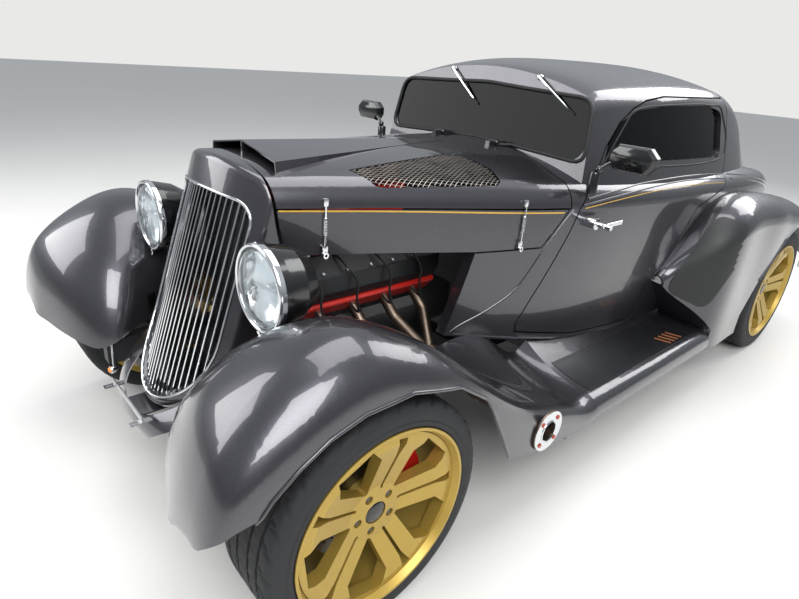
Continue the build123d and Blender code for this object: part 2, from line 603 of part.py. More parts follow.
def turned(face, x, y, z):
    """Revolves a profile drawn as (radius, height) about the axle line."""
    solid = revolve(Plane.XZ * face, Axis.Z)
    return Pos(x, y, z) * Rot(-90, 0, 0) * solid


WHEEL_TURN = 78.6
LUG_RECESS_R = 12


def rim(x, z, width):
    """Barrel with flanges, a dished web cut into double spokes, and the hub."""
    w = width / 2
    face_h = w - 6
    barrel = Polyline((RIM_BARREL_R, -w), (RIM_FLANGE_R, -w), (RIM_FLANGE_R, -w + 4), (RIM_SEAT_R, -w + 16),
                      (RIM_SEAT_R, w - 16), (RIM_FLANGE_R, w - 4), (RIM_FLANGE_R, w), (RIM_FLANGE_R - 8, w),
                      (RIM_BARREL_R, w - 30), close=True)
    hub_h = w - HUB_SETBACK
    web = Polyline((SPINDLE_R + RUNNING_CLEARANCE, hub_h - 60), (70, hub_h - 60), (78, hub_h - SPOKE_DEPTH),
                   (RIM_BARREL_R + 1, face_h - 44), (RIM_BARREL_R + 4, face_h - 12), (RIM_BARREL_R - 24, face_h - 8), (84, hub_h), (CAP_R, hub_h + 2),
                   (CAP_R, hub_h - 12), (SPINDLE_R + RUNNING_CLEARANCE, hub_h - 12), close=True)
    solid = revolve(Plane.XZ * make_face(web), Axis.Z)
    for k in range(WHEEL_SPOKES):
        turn = 360 / WHEEL_SPOKES * k + WHEEL_TURN
        window = [(82, -3), (195, -20), (238, -13), (238, 13), (195, 20), (82, 3)]
        slot = [(74, -3.2), (190, -1.6), (238, -3.6), (238, 3.6), (190, 1.6), (74, 3.2)]
        for outline, shift in ((window, 0), (slot, 180 / WHEEL_SPOKES)):
            points = [(r * cos(radians(turn + shift + a)), r * sin(radians(turn + shift + a))) for r, a in outline]
            solid = solid - extrude(Pos(0, 0, -200) * make_face(Polyline(*points, close=True)), amount=400)
        solid = solid - Pos(57 * cos(radians(turn)), 57 * sin(radians(turn)), hub_h) * Cylinder(LUG_RECESS_R, 20)
    ring = revolve(Plane.XZ * make_face(barrel), Axis.Z)
    return Pos(x, WHEEL_FACE_Y - w, z) * Rot(-90, 0, 0) * (solid + ring)


def disc(x, z, y):
    """Brake disc with its hat, bored for the spindle."""
    profile = Polyline((SPINDLE_R + RUNNING_CLEARANCE, 0), (DISC_R, 0), (DISC_R, -DISC_THICK), (82, -DISC_THICK), (82, -8),
                       (SPINDLE_R + RUNNING_CLEARANCE, -8), close=True)
    return turned(make_face(profile), x, y, z)


CALIPER_SPAN = 56


def caliper(x, z, y, lean):
    """A block that straddles the disc's edge; lean is its angle from straight up, to the rear."""
    body = turned(make_face(Polyline((112, 22), (DISC_R + 26, 22), (DISC_R + 30, 12), (DISC_R + 30, -DISC_THICK - 12),
                                     (DISC_R + 26, -DISC_THICK - 24), (112, -DISC_THICK - 24), close=True)), x, y, z)
    slot = turned(make_face(Polyline((60, 4), (DISC_R + 5, 4), (DISC_R + 5, -DISC_THICK - 4), (60, -DISC_THICK - 4), close=True)), x, y, z)
    a, half = radians(lean), radians(CALIPER_SPAN / 2)
    reach = 320
    wedge = [(x, z)] + [(x + reach * sin(-a + s), z + reach * cos(-a + s)) for s in (-half, 0, half)]
    return (body - slot) & side_prism(wedge, 300, 1000)


FRONT_W, REAR_W = FRONT_TYRE_WIDTH, REAR_TYRE_WIDTH
DISC_Y = WHEEL_FACE_Y - HUB_SETBACK - 60.4
for side, flip in (("left", False), ("right", True)):
    for end, x, z, radius, width in (("front", FRONT_AXLE_X, FRONT_TYRE_R, FRONT_TYRE_R, FRONT_W),
                                     ("rear", REAR_AXLE_X, REAR_TYRE_R, REAR_TYRE_R, REAR_W)):
        for name, solid in (("tyre", tyre(x, z, radius, width)), ("rim", rim(x, z, width)), ("brake_disc", disc(x, z, DISC_Y))):
            keep(f"{name}_{end}_{side}", mirrored(solid) if flip else solid)

# Knuckles: an upright with ball joint bosses, a spindle and the caliper's bracket
KING_Y, KING_LOW_Z, KING_HIGH_Z = 648, 196, 486
knuckle = box(FRONT_AXLE_X - 24, FRONT_AXLE_X + 24, KING_Y - 10, KING_Y + 22, KING_LOW_Z + 12, KING_HIGH_Z - 12)
knuckle += rod(FRONT_AXLE_X, KING_Y + 20, FRONT_TYRE_R, 48, 60)
spindle_end = WHEEL_FACE_Y - HUB_SETBACK - 14
knuckle += rod(FRONT_AXLE_X, (KING_Y + spindle_end) / 2, FRONT_TYRE_R, SPINDLE_R, spindle_end - KING_Y)
arm_y = KING_Y - 6
knuckle += box(FRONT_AXLE_X - 150, FRONT_AXLE_X - 20, arm_y - 12, arm_y + 12, 300, 322)
bracket_y = DISC_Y - DISC_THICK - 24
knuckle += box(FRONT_AXLE_X - 130, FRONT_AXLE_X, KING_Y + 8, bracket_y, 400, 450)
for z0, z1 in ((KING_LOW_Z - 12, KING_LOW_Z + 14), (KING_HIGH_Z - 14, KING_HIGH_Z + 12)):
    knuckle += rod(FRONT_AXLE_X, KING_Y, (z0 + z1) / 2, 17, z1 - z0, "Z")
keep("knuckle_left", knuckle)
keep("knuckle_right", mirrored(knuckle))
front_caliper = caliper(FRONT_AXLE_X, FRONT_TYRE_R, DISC_Y, 62)
keep("brake_caliper_front_left", front_caliper)
keep("brake_caliper_front_right", mirrored(front_caliper))
keep("brake_calipers_rear", pair(caliper(REAR_AXLE_X, REAR_TYRE_R, DISC_Y, -62)))

# Frame
def rail_profile():
    d = RAIL_DEPTH
    return [
        (RAIL_FRONT_X, RAIL_FRONT_TOP_Z), (RAIL_FRONT_X, RAIL_FRONT_TOP_Z - 90), (1250, RAIL_FRONT_TOP_Z - 110),
        (900, RAIL_TOP_Z - d), (KICK_LOW_X + 30, RAIL_TOP_Z - d), (-960, RAIL_KICK_TOP_Z - 80),
        (-1540, RAIL_KICK_TOP_Z - 80), (-1620, 440), (RAIL_REAR_X, 440), (RAIL_REAR_X, 500), (-1640, 500),
        (-1560, RAIL_KICK_TOP_Z), (KICK_HIGH_X, RAIL_KICK_TOP_Z), (KICK_LOW_X, RAIL_TOP_Z), (900, RAIL_TOP_Z),
        (1250, RAIL_FRONT_TOP_Z),
    ]


rail = side_prism(rail_profile(), RAIL_OUTER_Y - RAIL_WIDTH, RAIL_OUTER_Y)
half = RAIL_OUTER_Y - RAIL_WIDTH / 2
frame_members = [
    (1700, 1790, 310, GRILLE_OPEN_LOW_Z - GRILLE_RIM_LOW - SEAT_GAP), (1460, 1570, 330, 390), (640, 720, RAIL_TOP_Z - 90, RAIL_TOP_Z - 20),
    (-300, -220, RAIL_TOP_Z - 90, RAIL_TOP_Z - 20), (-960, -900, 470, 530), (RAIL_REAR_X, RAIL_REAR_X + 60, 440, 500),
]
frame = rail + mirrored(rail)
for x0, x1, z0, z1 in frame_members:
    frame += box(x0, x1, -half, half, z0, z1)
keep("chassis_frame", frame)

# Front suspension: cross member, wishbones and spring units
def bar(p, q, radius):
    """A straight round bar between two points."""
    start, end = Vector(*p), Vector(*q)
    axis = end - start
    return Solid.make_cylinder(radius, axis.length, Plane(origin=start, z_dir=axis.normalized()))


def wishbone(z_in, z_out, spread, radius):
    arm = bar((FRONT_AXLE_X + spread, 300, z_in), (FRONT_AXLE_X, KING_Y, z_out), radius)
    return arm + bar((FRONT_AXLE_X - spread, 300, z_in), (FRONT_AXLE_X, KING_Y, z_out), radius)


low_boss_z = KING_LOW_Z - 12 - 0.3 - 14
high_boss_z = KING_HIGH_Z + 12 + 0.3 + 12
arms = wishbone(low_boss_z, low_boss_z, 150, 14) + rod(FRONT_AXLE_X, KING_Y, low_boss_z, 26, 28, "Z")
arms += wishbone(462, high_boss_z, 110, 10) + rod(FRONT_AXLE_X, KING_Y, high_boss_z, 22, 24, "Z")
arms += box(FRONT_AXLE_X - 170, FRONT_AXLE_X + 170, 270, 330, low_boss_z - 22, low_boss_z + 22)
arms += box(FRONT_AXLE_X - 40, FRONT_AXLE_X + 40, -1, 300, low_boss_z - 22, low_boss_z + 30)
arms += box(FRONT_AXLE_X - 130, FRONT_AXLE_X + 130, 290, 330, low_boss_z, RAIL_FRONT_TOP_Z - 105)
arms += box(FRONT_AXLE_X - 130, FRONT_AXLE_X - 90, 280, 344.6, 391, 482)
arms += box(FRONT_AXLE_X + 90, FRONT_AXLE_X + 130, 280, 344.6, 391, 482)
front_suspension = arms + mirrored(arms)
keep("front_suspension", front_suspension)

# Rear axle with its stubs, and the bars that place it
TRAIL_Y = 425
HUB_IN_Y = DISC_Y - DISC_THICK - 40
axle = rod(REAR_AXLE_X, 0, REAR_TYRE_R, 38, 2 * HUB_IN_Y)
axle += rod(REAR_AXLE_X, 0, REAR_TYRE_R, SPINDLE_R, 2 * spindle_end)
axle += rod(REAR_AXLE_X, 0, REAR_TYRE_R, 128, 190) + Pos(REAR_AXLE_X, 0, REAR_TYRE_R) * Sphere(122)
axle += rod(REAR_AXLE_X + 150, 0, REAR_TYRE_R, 46, 120, "X")
for s in (-1, 1):
    axle += bar((REAR_AXLE_X, s * TRAIL_Y, REAR_TYRE_R - 50), (-700, s * TRAIL_Y, 306), 13)
    axle += box(REAR_AXLE_X - 30, REAR_AXLE_X + 30, s * TRAIL_Y - 20, s * TRAIL_Y + 20, REAR_TYRE_R - 70, REAR_TYRE_R + 30)
    axle += box(REAR_AXLE_X, REAR_AXLE_X + 135, min(s * (HUB_IN_Y - 12), s * bracket_y), max(s * (HUB_IN_Y - 12), s * bracket_y), 330, 430)
    axle += Pos(-700, s * (RAIL_OUTER_Y + SEAT_GAP + 25), 306) * Box(60, 50, 44)
    axle += bar((REAR_AXLE_X - 60, s * 300, REAR_TYRE_R - 20), (REAR_AXLE_X - 90, s * 300, 540), 30)
    axle += box(REAR_AXLE_X - 90, REAR_AXLE_X, s * 300 - 25, s * 300 + 25, REAR_TYRE_R - 40, REAR_TYRE_R + 20)
keep("rear_axle", axle)

# Engine
ENGINE_REAR_X = ENGINE_FRONT_X - ENGINE_LENGTH
engine = box(ENGINE_REAR_X, ENGINE_FRONT_X, -150, 150, 330, 620)
deck = across_prism([(-150, 560), (-250, 660), (-150, 740), (150, 740), (250, 660), (150, 560)], 12, ENGINE_REAR_X, ENGINE_FRONT_X)
engine += deck + box(ENGINE_REAR_X + 60, ENGINE_FRONT_X - 60, -110, 110, 735, 1000)
engine += box(640, ENGINE_REAR_X + 1, -130, 130, RAIL_TOP_Z - 20 + SEAT_GAP, 560)
engine += rod(ENGINE_FRONT_X + 12, 0, 470, 85, 24, "X") + rod(ENGINE_FRONT_X + 12, 0, 640, 60, 24, "X")
for s in (-1, 1):
    engine += box(1180, 1240, min(s * 140, s * 344.6), max(s * 140, s * 344.6), 380, 410)
keep("engine_block", engine)


COVER_OUTLINE = [(240, 668), (156, 735.2), (160, 792), (196, 822), (272, 770), (270, 712)]
cover = across_prism(COVER_OUTLINE, 10, ENGINE_REAR_X + 10, ENGINE_FRONT_X - 10) - engine
keep("valve_covers", pair(largest(cover)))


def headers():
    """Four primaries and the collector that runs out through the fender's side."""
    pipes = None
    for k in range(4):
        x = ENGINE_REAR_X + 70 + k * 140
        start, knee = (x, 206, 615), (x - 8, 262, 559)
        end = (EXHAUST_X + 52 + 8 * (k % 2), 378 + 10 * (k // 2), 440)
        path = FilletPolyline(start, knee, end, radius=[34])
        pipe = sweep(Plane(origin=start, z_dir=(0, 1, -1)) * Circle(19), path)
        pipes = pipe if pipes is None else pipes + pipe
    collector = bar((EXHAUST_X + 62, 372, 444), (EXHAUST_X, 575, EXHAUST_Z), 37)
    collector += bar((EXHAUST_X, 565, EXHAUST_Z), (EXHAUST_X, 600, EXHAUST_Z), 39)
    collector += rod(EXHAUST_X, 715, EXHAUST_Z, OUTLET_PIPE_R, 320)
    collector += rod(EXHAUST_X, 874, EXHAUST_Z, EXHAUST_FLANGE_R, 6)
    bore = rod(EXHAUST_X, 800, EXHAUST_Z, EXHAUST_BORE_R, 200)
    return pipes + collector - bore


keep("exhaust_headers", pair(headers() - engine))

# Radiator and grille
keep("radiator", box(1478, 1540, -205, 205, 390.2, 990))
rake = tan(radians(GRILLE_RAKE_DEG))


def bow_x(y):
    """How far the grille falls back from its middle, at a distance from it."""
    radius = (GRILLE_HALF_W**2 + GRILLE_BOW**2) / (2 * GRILLE_BOW)
    return radius - sqrt(radius**2 - y**2)


def grille_x(y, z):
    return GRILLE_TOP_X + (GRILLE_TOP_Z - z) * rake - bow_x(y)


def grille_slab(front, back):
    """A bowed band in plan, swept along the rake."""
    low_z = 300
    half_y = GRILLE_HALF_W + GRILLE_RIM + 20
    x0 = GRILLE_TOP_X + (GRILLE_TOP_Z - low_z) * rake
    arcs = [Edge.make_three_point_arc(at(x0 + d - bow_x(half_y), -half_y, low_z), at(x0 + d, 0, low_z), at(x0 + d - bow_x(half_y), half_y, low_z))
            for d in (front, back)]
    ends = [Edge.make_line(arcs[0] @ 0, arcs[1] @ 0), Edge.make_line(arcs[0] @ 1, arcs[1] @ 1)]
    height = 900
    return extrude(Face(Wire([arcs[0], ends[1], arcs[1], ends[0]])), amount=height / cos(radians(GRILLE_RAKE_DEG)), dir=(-rake, 0, 1))


def grille_outline(half, low_z, corner_z, corner_r, top_z):
    """The opening's or the shell's outline seen from the front, as a solid along the car."""
    x = 1400
    ty, tz = crown_touch(half - corner_r, corner_z, corner_r, top_z)
    turn_z = low_z + half
    edges = [
        Edge.make_three_point_arc(at(x, -ty, tz), at(x, 0, top_z), at(x, ty, tz)),
        Edge.make_tangent_arc(at(x, half, corner_z), at(0, 0, 1), at(x, ty, tz)),
        Edge.make_line(at(x, half, corner_z), at(x, half, turn_z)),
        Edge.make_three_point_arc(at(x, half, turn_z), at(x, 0, low_z), at(x, -half, turn_z)),
        Edge.make_line(at(x, -half, turn_z), at(x, -half, corner_z)),
        Edge.make_tangent_arc(at(x, -half, corner_z), at(0, 0, 1), at(x, -ty, tz)),
    ]
    return extrude(Face(Wire(edges)), amount=600, dir=(1, 0, 0))


def shell_outline(grow):
    return grille_outline(GRILLE_HALF_W + GRILLE_RIM + grow, GRILLE_OPEN_LOW_Z - GRILLE_RIM_LOW - grow, SHELL_CORNER_Z,
                          SHELL_CORNER_R + grow, GRILLE_TOP_Z + grow)


opening = grille_outline(GRILLE_HALF_W, GRILLE_OPEN_LOW_Z, GRILLE_CORNER_Z, GRILLE_CORNER_R, GRILLE_OPEN_TOP_Z)
shell_back = rod(HOOD_HINGE_X, 0, HOOD_HINGE_Z, HOOD_SWEEP_R + SHUT_GAP, 1400)
shell_block = shell_outline(0) & grille_slab(0, -GRILLE_DEPTH)
front_edges = [edge for edge in shell_block.edges() if abs((edge @ 0.5).X - grille_x((edge @ 0.5).Y, (edge @ 0.5).Z)) < 0.5]
grille_shell = fillet(front_edges, SHELL_EDGE_R) - opening - shell_back
keep("grille_shell", grille_shell)
bar_room = grille_outline(GRILLE_HALF_W - SEAT_GAP, GRILLE_OPEN_LOW_Z + SEAT_GAP, GRILLE_CORNER_Z, GRILLE_CORNER_R - SEAT_GAP,
                          GRILLE_OPEN_TOP_Z - SEAT_GAP)
bars = []
for k in range(BAR_COUNT):
    y = -GRILLE_HALF_W + (k + 0.5) * 2 * GRILLE_HALF_W / BAR_COUNT
    slat = side_prism([(grille_x(y, z) - d, z) for z, d in ((300, 14), (1100, 14), (1100, 14 + BAR_DEPTH), (300, 14 + BAR_DEPTH))],
                      y - BAR_WIDTH / 2, y + BAR_WIDTH / 2)
    bars += (slat & bar_room).solids()
keep("grille_bars", *bars)

# Lamps on short stands
bucket = revolve(Plane.XZ * make_face(Polyline((0, 0), (38, 6), (78, 34), (104, 78), (LAMP_R - 4, 130), (LAMP_R, LAMP_DEPTH - 14),
                                               (LAMP_R, LAMP_DEPTH), (LAMP_R - 8, LAMP_DEPTH), (LAMP_R - 8, LAMP_DEPTH - 13),
                                               (LAMP_R - 14, 120), (0, 60), close=True)), Axis.Z)
bucket = Pos(LAMP_X - LAMP_DEPTH, LAMP_Y, LAMP_Z) * Rot(0, 90, 0) * bucket
LAMP_STAND_GAP = 0.5
APRON_GAP = 0.6
stand = rod(LAMP_X - 80, LAMP_Y + 18, LAMP_Z - LAMP_R - 20, 16, 90, "Z") - front_fender - Pos(0, 0, LAMP_STAND_GAP) * front_fender
stand = max(stand.solids(), key=lambda solid: solid.bounding_box().max.Z)
keep("headlamp_buckets", pair(bucket + stand))
lens = revolve(Plane.XZ * make_face(Polyline((0, 0), (LAMP_R - 8 - SEAT_GAP, 0), (LAMP_R - 8 - SEAT_GAP, 8), (60, 20), (0, 24), close=True)), Axis.Z)
keep("headlamp_lenses", pair(Pos(LAMP_X - 12, LAMP_Y, LAMP_Z) * Rot(0, 90, 0) * lens))

# Apron below the grille and its bracket
def bowed_wire(x_mid, x_side, half_y, thick, z):
    """A level band across the car, bowed forward in plan, as a closed outline."""
    outer = Edge.make_three_point_arc(at(x_side, -half_y, z), at(x_mid, 0, z), at(x_side, half_y, z))
    inner = Edge.make_three_point_arc(at(x_side - thick, -half_y, z), at(x_mid - thick, 0, z), at(x_side - thick, half_y, z))
    ends = [Edge.make_line(inner @ k, outer @ k) for k in (0, 1)]
    return Wire([outer, ends[1], inner, ends[0]])


# The apron's levels from its lower edge to the one below the shell: (x in the middle, x at the sides, z)
APRON_LEVELS = [(1893, 1800, 250), (1915, 1820, 290), (1922, 1828, 335), (1908, 1816, 372), (1880, 1790, 402), (1840, 1752, 430), (1795, 1710, 455)]
APRON_HALF_Y = 339
APRON_THICK = 5
APRON_OUTLINE = [(-335, 445), (-335, 418), (-237, 386), (-157, 332), (-100, 288), (-50, 262),
                 (50, 262), (100, 288), (157, 332), (237, 386), (335, 418), (335, 445)]
apron = Solid.make_loft([bowed_wire(x_mid, x_side, APRON_HALF_Y, APRON_THICK, z) for x_mid, x_side, z in APRON_LEVELS])
apron = apron & across_prism(APRON_OUTLINE, 6, 1700, 2000)
apron = apron - shell_outline(SEAT_GAP) - front_fender - Pos(-APRON_GAP, 0, 0) * front_fender - Pos(0, 0, -APRON_GAP) * front_fender
apron = apron - mirrored(front_fender) - Pos(-APRON_GAP, 0, 0) * mirrored(front_fender) - Pos(0, 0, -APRON_GAP) * mirrored(front_fender)
APRON_SHELF_X, APRON_SHELF_HALF_Y = 1795, 60
shelf_top = GRILLE_OPEN_LOW_Z - GRILLE_RIM_LOW - SEAT_GAP
shelf = box(APRON_SHELF_X, APRON_LEVELS[3][0] + 3, -APRON_SHELF_HALF_Y, APRON_SHELF_HALF_Y, shelf_top - APRON_THICK, shelf_top)
apron = largest(apron) + shelf
keep("front_apron", apron)
TAB_Y, TAB_Z, TAB_FRONT_X, BAR_FRONT_X = 124, 376, 1956, 1924
bracket = box(BAR_FRONT_X - 4, BAR_FRONT_X, -TAB_Y - 10, TAB_Y + 10, TAB_Z - 2, TAB_Z + 18)
for s in (-1, 1):
    tab = box(1800, TAB_FRONT_X, s * TAB_Y - 10, s * TAB_Y + 10, TAB_Z - 4, TAB_Z)
    slot = box(BAR_FRONT_X + 6, TAB_FRONT_X - 6, s * TAB_Y - 4, s * TAB_Y + 4, TAB_Z - 10, TAB_Z + 5)
    tab = tab - slot - apron - Pos(APRON_GAP, 0, 0) * apron
    bracket += max(tab.solids(), key=lambda solid: solid.center().X)
keep("apron_bracket", bracket)

# Lamps at the tail, the tank, mirrors, wipers
keep("tail_lamps", *[rod(TAIL_X - 10.4, s * 215, 545, 34, 20, "X") for s in (-1, 1)])
keep("fuel_tank", box(-1840, -1650, -300, 300, 300, 439.6))

mirror = rod(462, 590, 1056, 19, 100, "Z") + bar((462, 590, 1096), (452, 640, 1146), 9)
mirror += box(425, 470, 625, 790, 1120, 1200)
mirror = mirror - body_outside
keep("mirrors", pair(largest(mirror)))

wiper = bar((412, 210, 1395), (392, 330, 1290), 5) + rod(415, 210, 1395, 11, 40, "X")
keep("wipers", pair(largest(wiper - body_outside)))

# Cabin: seats, dash and steering wheel
seat_x0, seat_x1, seat_y = -420, 60, 270
floor_top = RAIL_TOP_Z + FLOOR_THICK + 0.3
cushion = box(seat_x0, seat_x1, seat_y - 220, seat_y + 220, floor_top, 500)
keep("seat_cushions", pair(fillet(cushion.edges(), 30)))
back = Pos(-520, seat_y, 500) * Rot(0, -16, 0) * box(-55, 55, -215, 215, -126, 560)
back = fillet(back.edges(), 30)
back = Pos(0, 0, floor_top - back.bounding_box().min.Z) * back
keep("seat_backs", pair(back))
dash_form = side_prism([(330, 880), (420, 900), (430, 1040), (400, 1060), (320, 1010)], -560, 560) & floor_room
keep("dashboard", dash_form)
WHEEL_X, WHEEL_Z, WHEEL_TILT = 120, 900, 62
ring = Torus(178, 13)
for k in range(3):
    ring += Rot(0, 0, 120 * k) * box(0, 178, -12, 12, -4, 4)
ring += Cylinder(34, 24)
column = Cylinder(18, 260, align=(Align.CENTER, Align.CENTER, Align.MIN))
steering = Pos(WHEEL_X, 270, WHEEL_Z) * Rot(0, WHEEL_TILT, 0) * (ring + column)
keep("steering_wheel", steering - side_prism([(330, 880), (420, 900), (430, 1040), (400, 1060), (320, 1010)], -560, 560))

os.makedirs("parts", exist_ok=True)
for name, shape in parts.items():
    export_step(shape, f"parts/{name}.step")
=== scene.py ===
"""Hot rod coupe: finishes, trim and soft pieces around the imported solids.

Metres, +X to the nose, +Y to its left.
"""

from __future__ import annotations

import json
import logging
import math
from dataclasses import dataclass
from enum import Enum
from typing import Iterable, Optional, Sequence

import bmesh
import bpy
from mathutils import Matrix, Vector
from mathutils.bvhtree import BVHTree

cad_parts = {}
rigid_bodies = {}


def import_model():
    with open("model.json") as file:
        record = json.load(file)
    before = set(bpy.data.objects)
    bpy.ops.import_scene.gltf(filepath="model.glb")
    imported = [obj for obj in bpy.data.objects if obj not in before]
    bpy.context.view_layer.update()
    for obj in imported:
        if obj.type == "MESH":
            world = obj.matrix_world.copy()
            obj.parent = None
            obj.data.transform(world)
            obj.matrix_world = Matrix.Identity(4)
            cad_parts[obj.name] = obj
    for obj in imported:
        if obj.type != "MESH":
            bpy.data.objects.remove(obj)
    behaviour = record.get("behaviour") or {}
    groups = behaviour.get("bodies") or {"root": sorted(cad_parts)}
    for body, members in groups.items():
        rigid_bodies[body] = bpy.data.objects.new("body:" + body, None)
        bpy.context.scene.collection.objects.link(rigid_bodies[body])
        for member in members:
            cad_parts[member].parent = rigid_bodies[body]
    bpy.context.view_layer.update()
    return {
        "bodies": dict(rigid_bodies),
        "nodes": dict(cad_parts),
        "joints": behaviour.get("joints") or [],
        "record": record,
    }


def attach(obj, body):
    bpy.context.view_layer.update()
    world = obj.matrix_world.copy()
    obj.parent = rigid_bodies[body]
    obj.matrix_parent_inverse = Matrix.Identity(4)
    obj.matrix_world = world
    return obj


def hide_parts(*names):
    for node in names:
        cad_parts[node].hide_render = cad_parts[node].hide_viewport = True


logging.basicConfig(level=logging.INFO, format="%(message)s")
LOG = logging.getLogger("hot_rod")

MM = 0.001
FRONT_AXLE_X, FRONT_AXLE_Z = 1.570, 0.339
REAR_AXLE_X, REAR_AXLE_Z = -1.275, 0.348
AHEAD, LEFTWARD, UP, DOWN = Vector((1, 0, 0)), Vector((0, 1, 0)), Vector((0, 0, 1)), Vector((0, 0, -1))
SIDE_NAME = {1: "left", -1: "right"}
# Where rays start: beside the car and above it
BESIDE_Y, ABOVE_Z = 1.4, 2.0

Outline = tuple[tuple[float, float], ...]
Place = tuple[float, float, float]


# Small helpers


def linear(code: str) -> tuple[float, float, float, float]:
    """Turns an sRGB hex colour, such as "#3a3d42", into linear light.

    Args:
        code: The colour.

    Returns:
        Red, green, blue and an alpha of 1, as Blender's sockets take them.
    """
    values = []
    for start in (1, 3, 5):
        c = int(code[start:start + 2], 16) / 255
        values.append(c / 12.92 if c <= 0.04045 else ((c + 0.055) / 1.055) ** 2.4)
    return (*values, 1.0)


def add(tree: bpy.types.NodeTree, kind: str, inputs: Optional[dict] = None,
        **settings: object) -> bpy.types.Node:
    """Adds a shader node with its settings and links.

    Args:
        tree: The material's or world's node tree.
        kind: Blender's name of the node type.
        inputs: Socket name or number to a value, or to the output socket that feeds it.
        **settings: The node's own properties.

    Returns:
        The new node.
    """
    node = tree.nodes.new(kind)
    for key, value in settings.items():
        setattr(node, key, value)
    for key, value in (inputs or {}).items():
        if isinstance(value, bpy.types.NodeSocket):
            tree.links.new(value, node.inputs[key])
        else:
            node.inputs[key].default_value = value
    return node


def spot(side: int, x: float, y: float, z: float) -> Vector:
    """A place on one side of the car: 1 is the left, -1 the right."""
    return Vector((x, side * y, z))


def mirror_y(points: Iterable[Vector]) -> list[Vector]:
    """The same points on the other side of the car."""
    return [Vector((p.x, -p.y, p.z)) for p in points]


def spaced(points: Sequence[Vector], step: float, closed: bool = False) -> list[Vector]:
    """Points at even spacing along a Catmull-Rom curve through the given ones.

    Args:
        points: The points that the curve passes.
        step: The wanted distance between two results, in metres.
        closed: True where the last point leads back to the first.

    Returns:
        The new points; a closed curve doesn't repeat its first point.
    """
    count = len(points)
    out: list[Vector] = []
    spans = count if closed else count - 1
    for i in range(spans):
        if closed:
            a, b, c, d = (points[(i + k - 1) % count] for k in range(4))
        else:
            a, b = points[max(i - 1, 0)], points[i]
            c, d = points[i + 1], points[min(i + 2, count - 1)]
        parts = max(1, int(round((c - b).length / step)))
        for k in range(parts):
            t = k / parts
            out.append(0.5 * ((2 * b) + (c - a) * t + (2 * a - 5 * b + 4 * c - d) * t * t
                              + (3 * b - a - 3 * c + d) * t ** 3))
    if not closed:
        out.append(points[-1].copy())
    return out


# Finishes


class Grain(Enum):
    """How a finish's fine texture is made."""

    PLAIN = "plain"
    FLAKE = "flake"
    PEBBLE = "pebble"
    BRUSHED = "brushed"
    FLUTED = "fluted"
    CORE = "core"


# Direction and section of the grains that are made of bands
BANDS = {Grain.FLUTED: ("Y", "SIN"), Grain.CORE: ("Z", "TRI")}
# How much brushed lines are drawn out along x
BRUSH_STRETCH = (0.06, 1.0, 1.0)
# The wave texture multiplies a place by this before it takes the wave
WAVE_FACTOR = 20
# The part of a noise's range that holds nearly all its values
NOISE_LOW, NOISE_HIGH = 0.3, 0.7


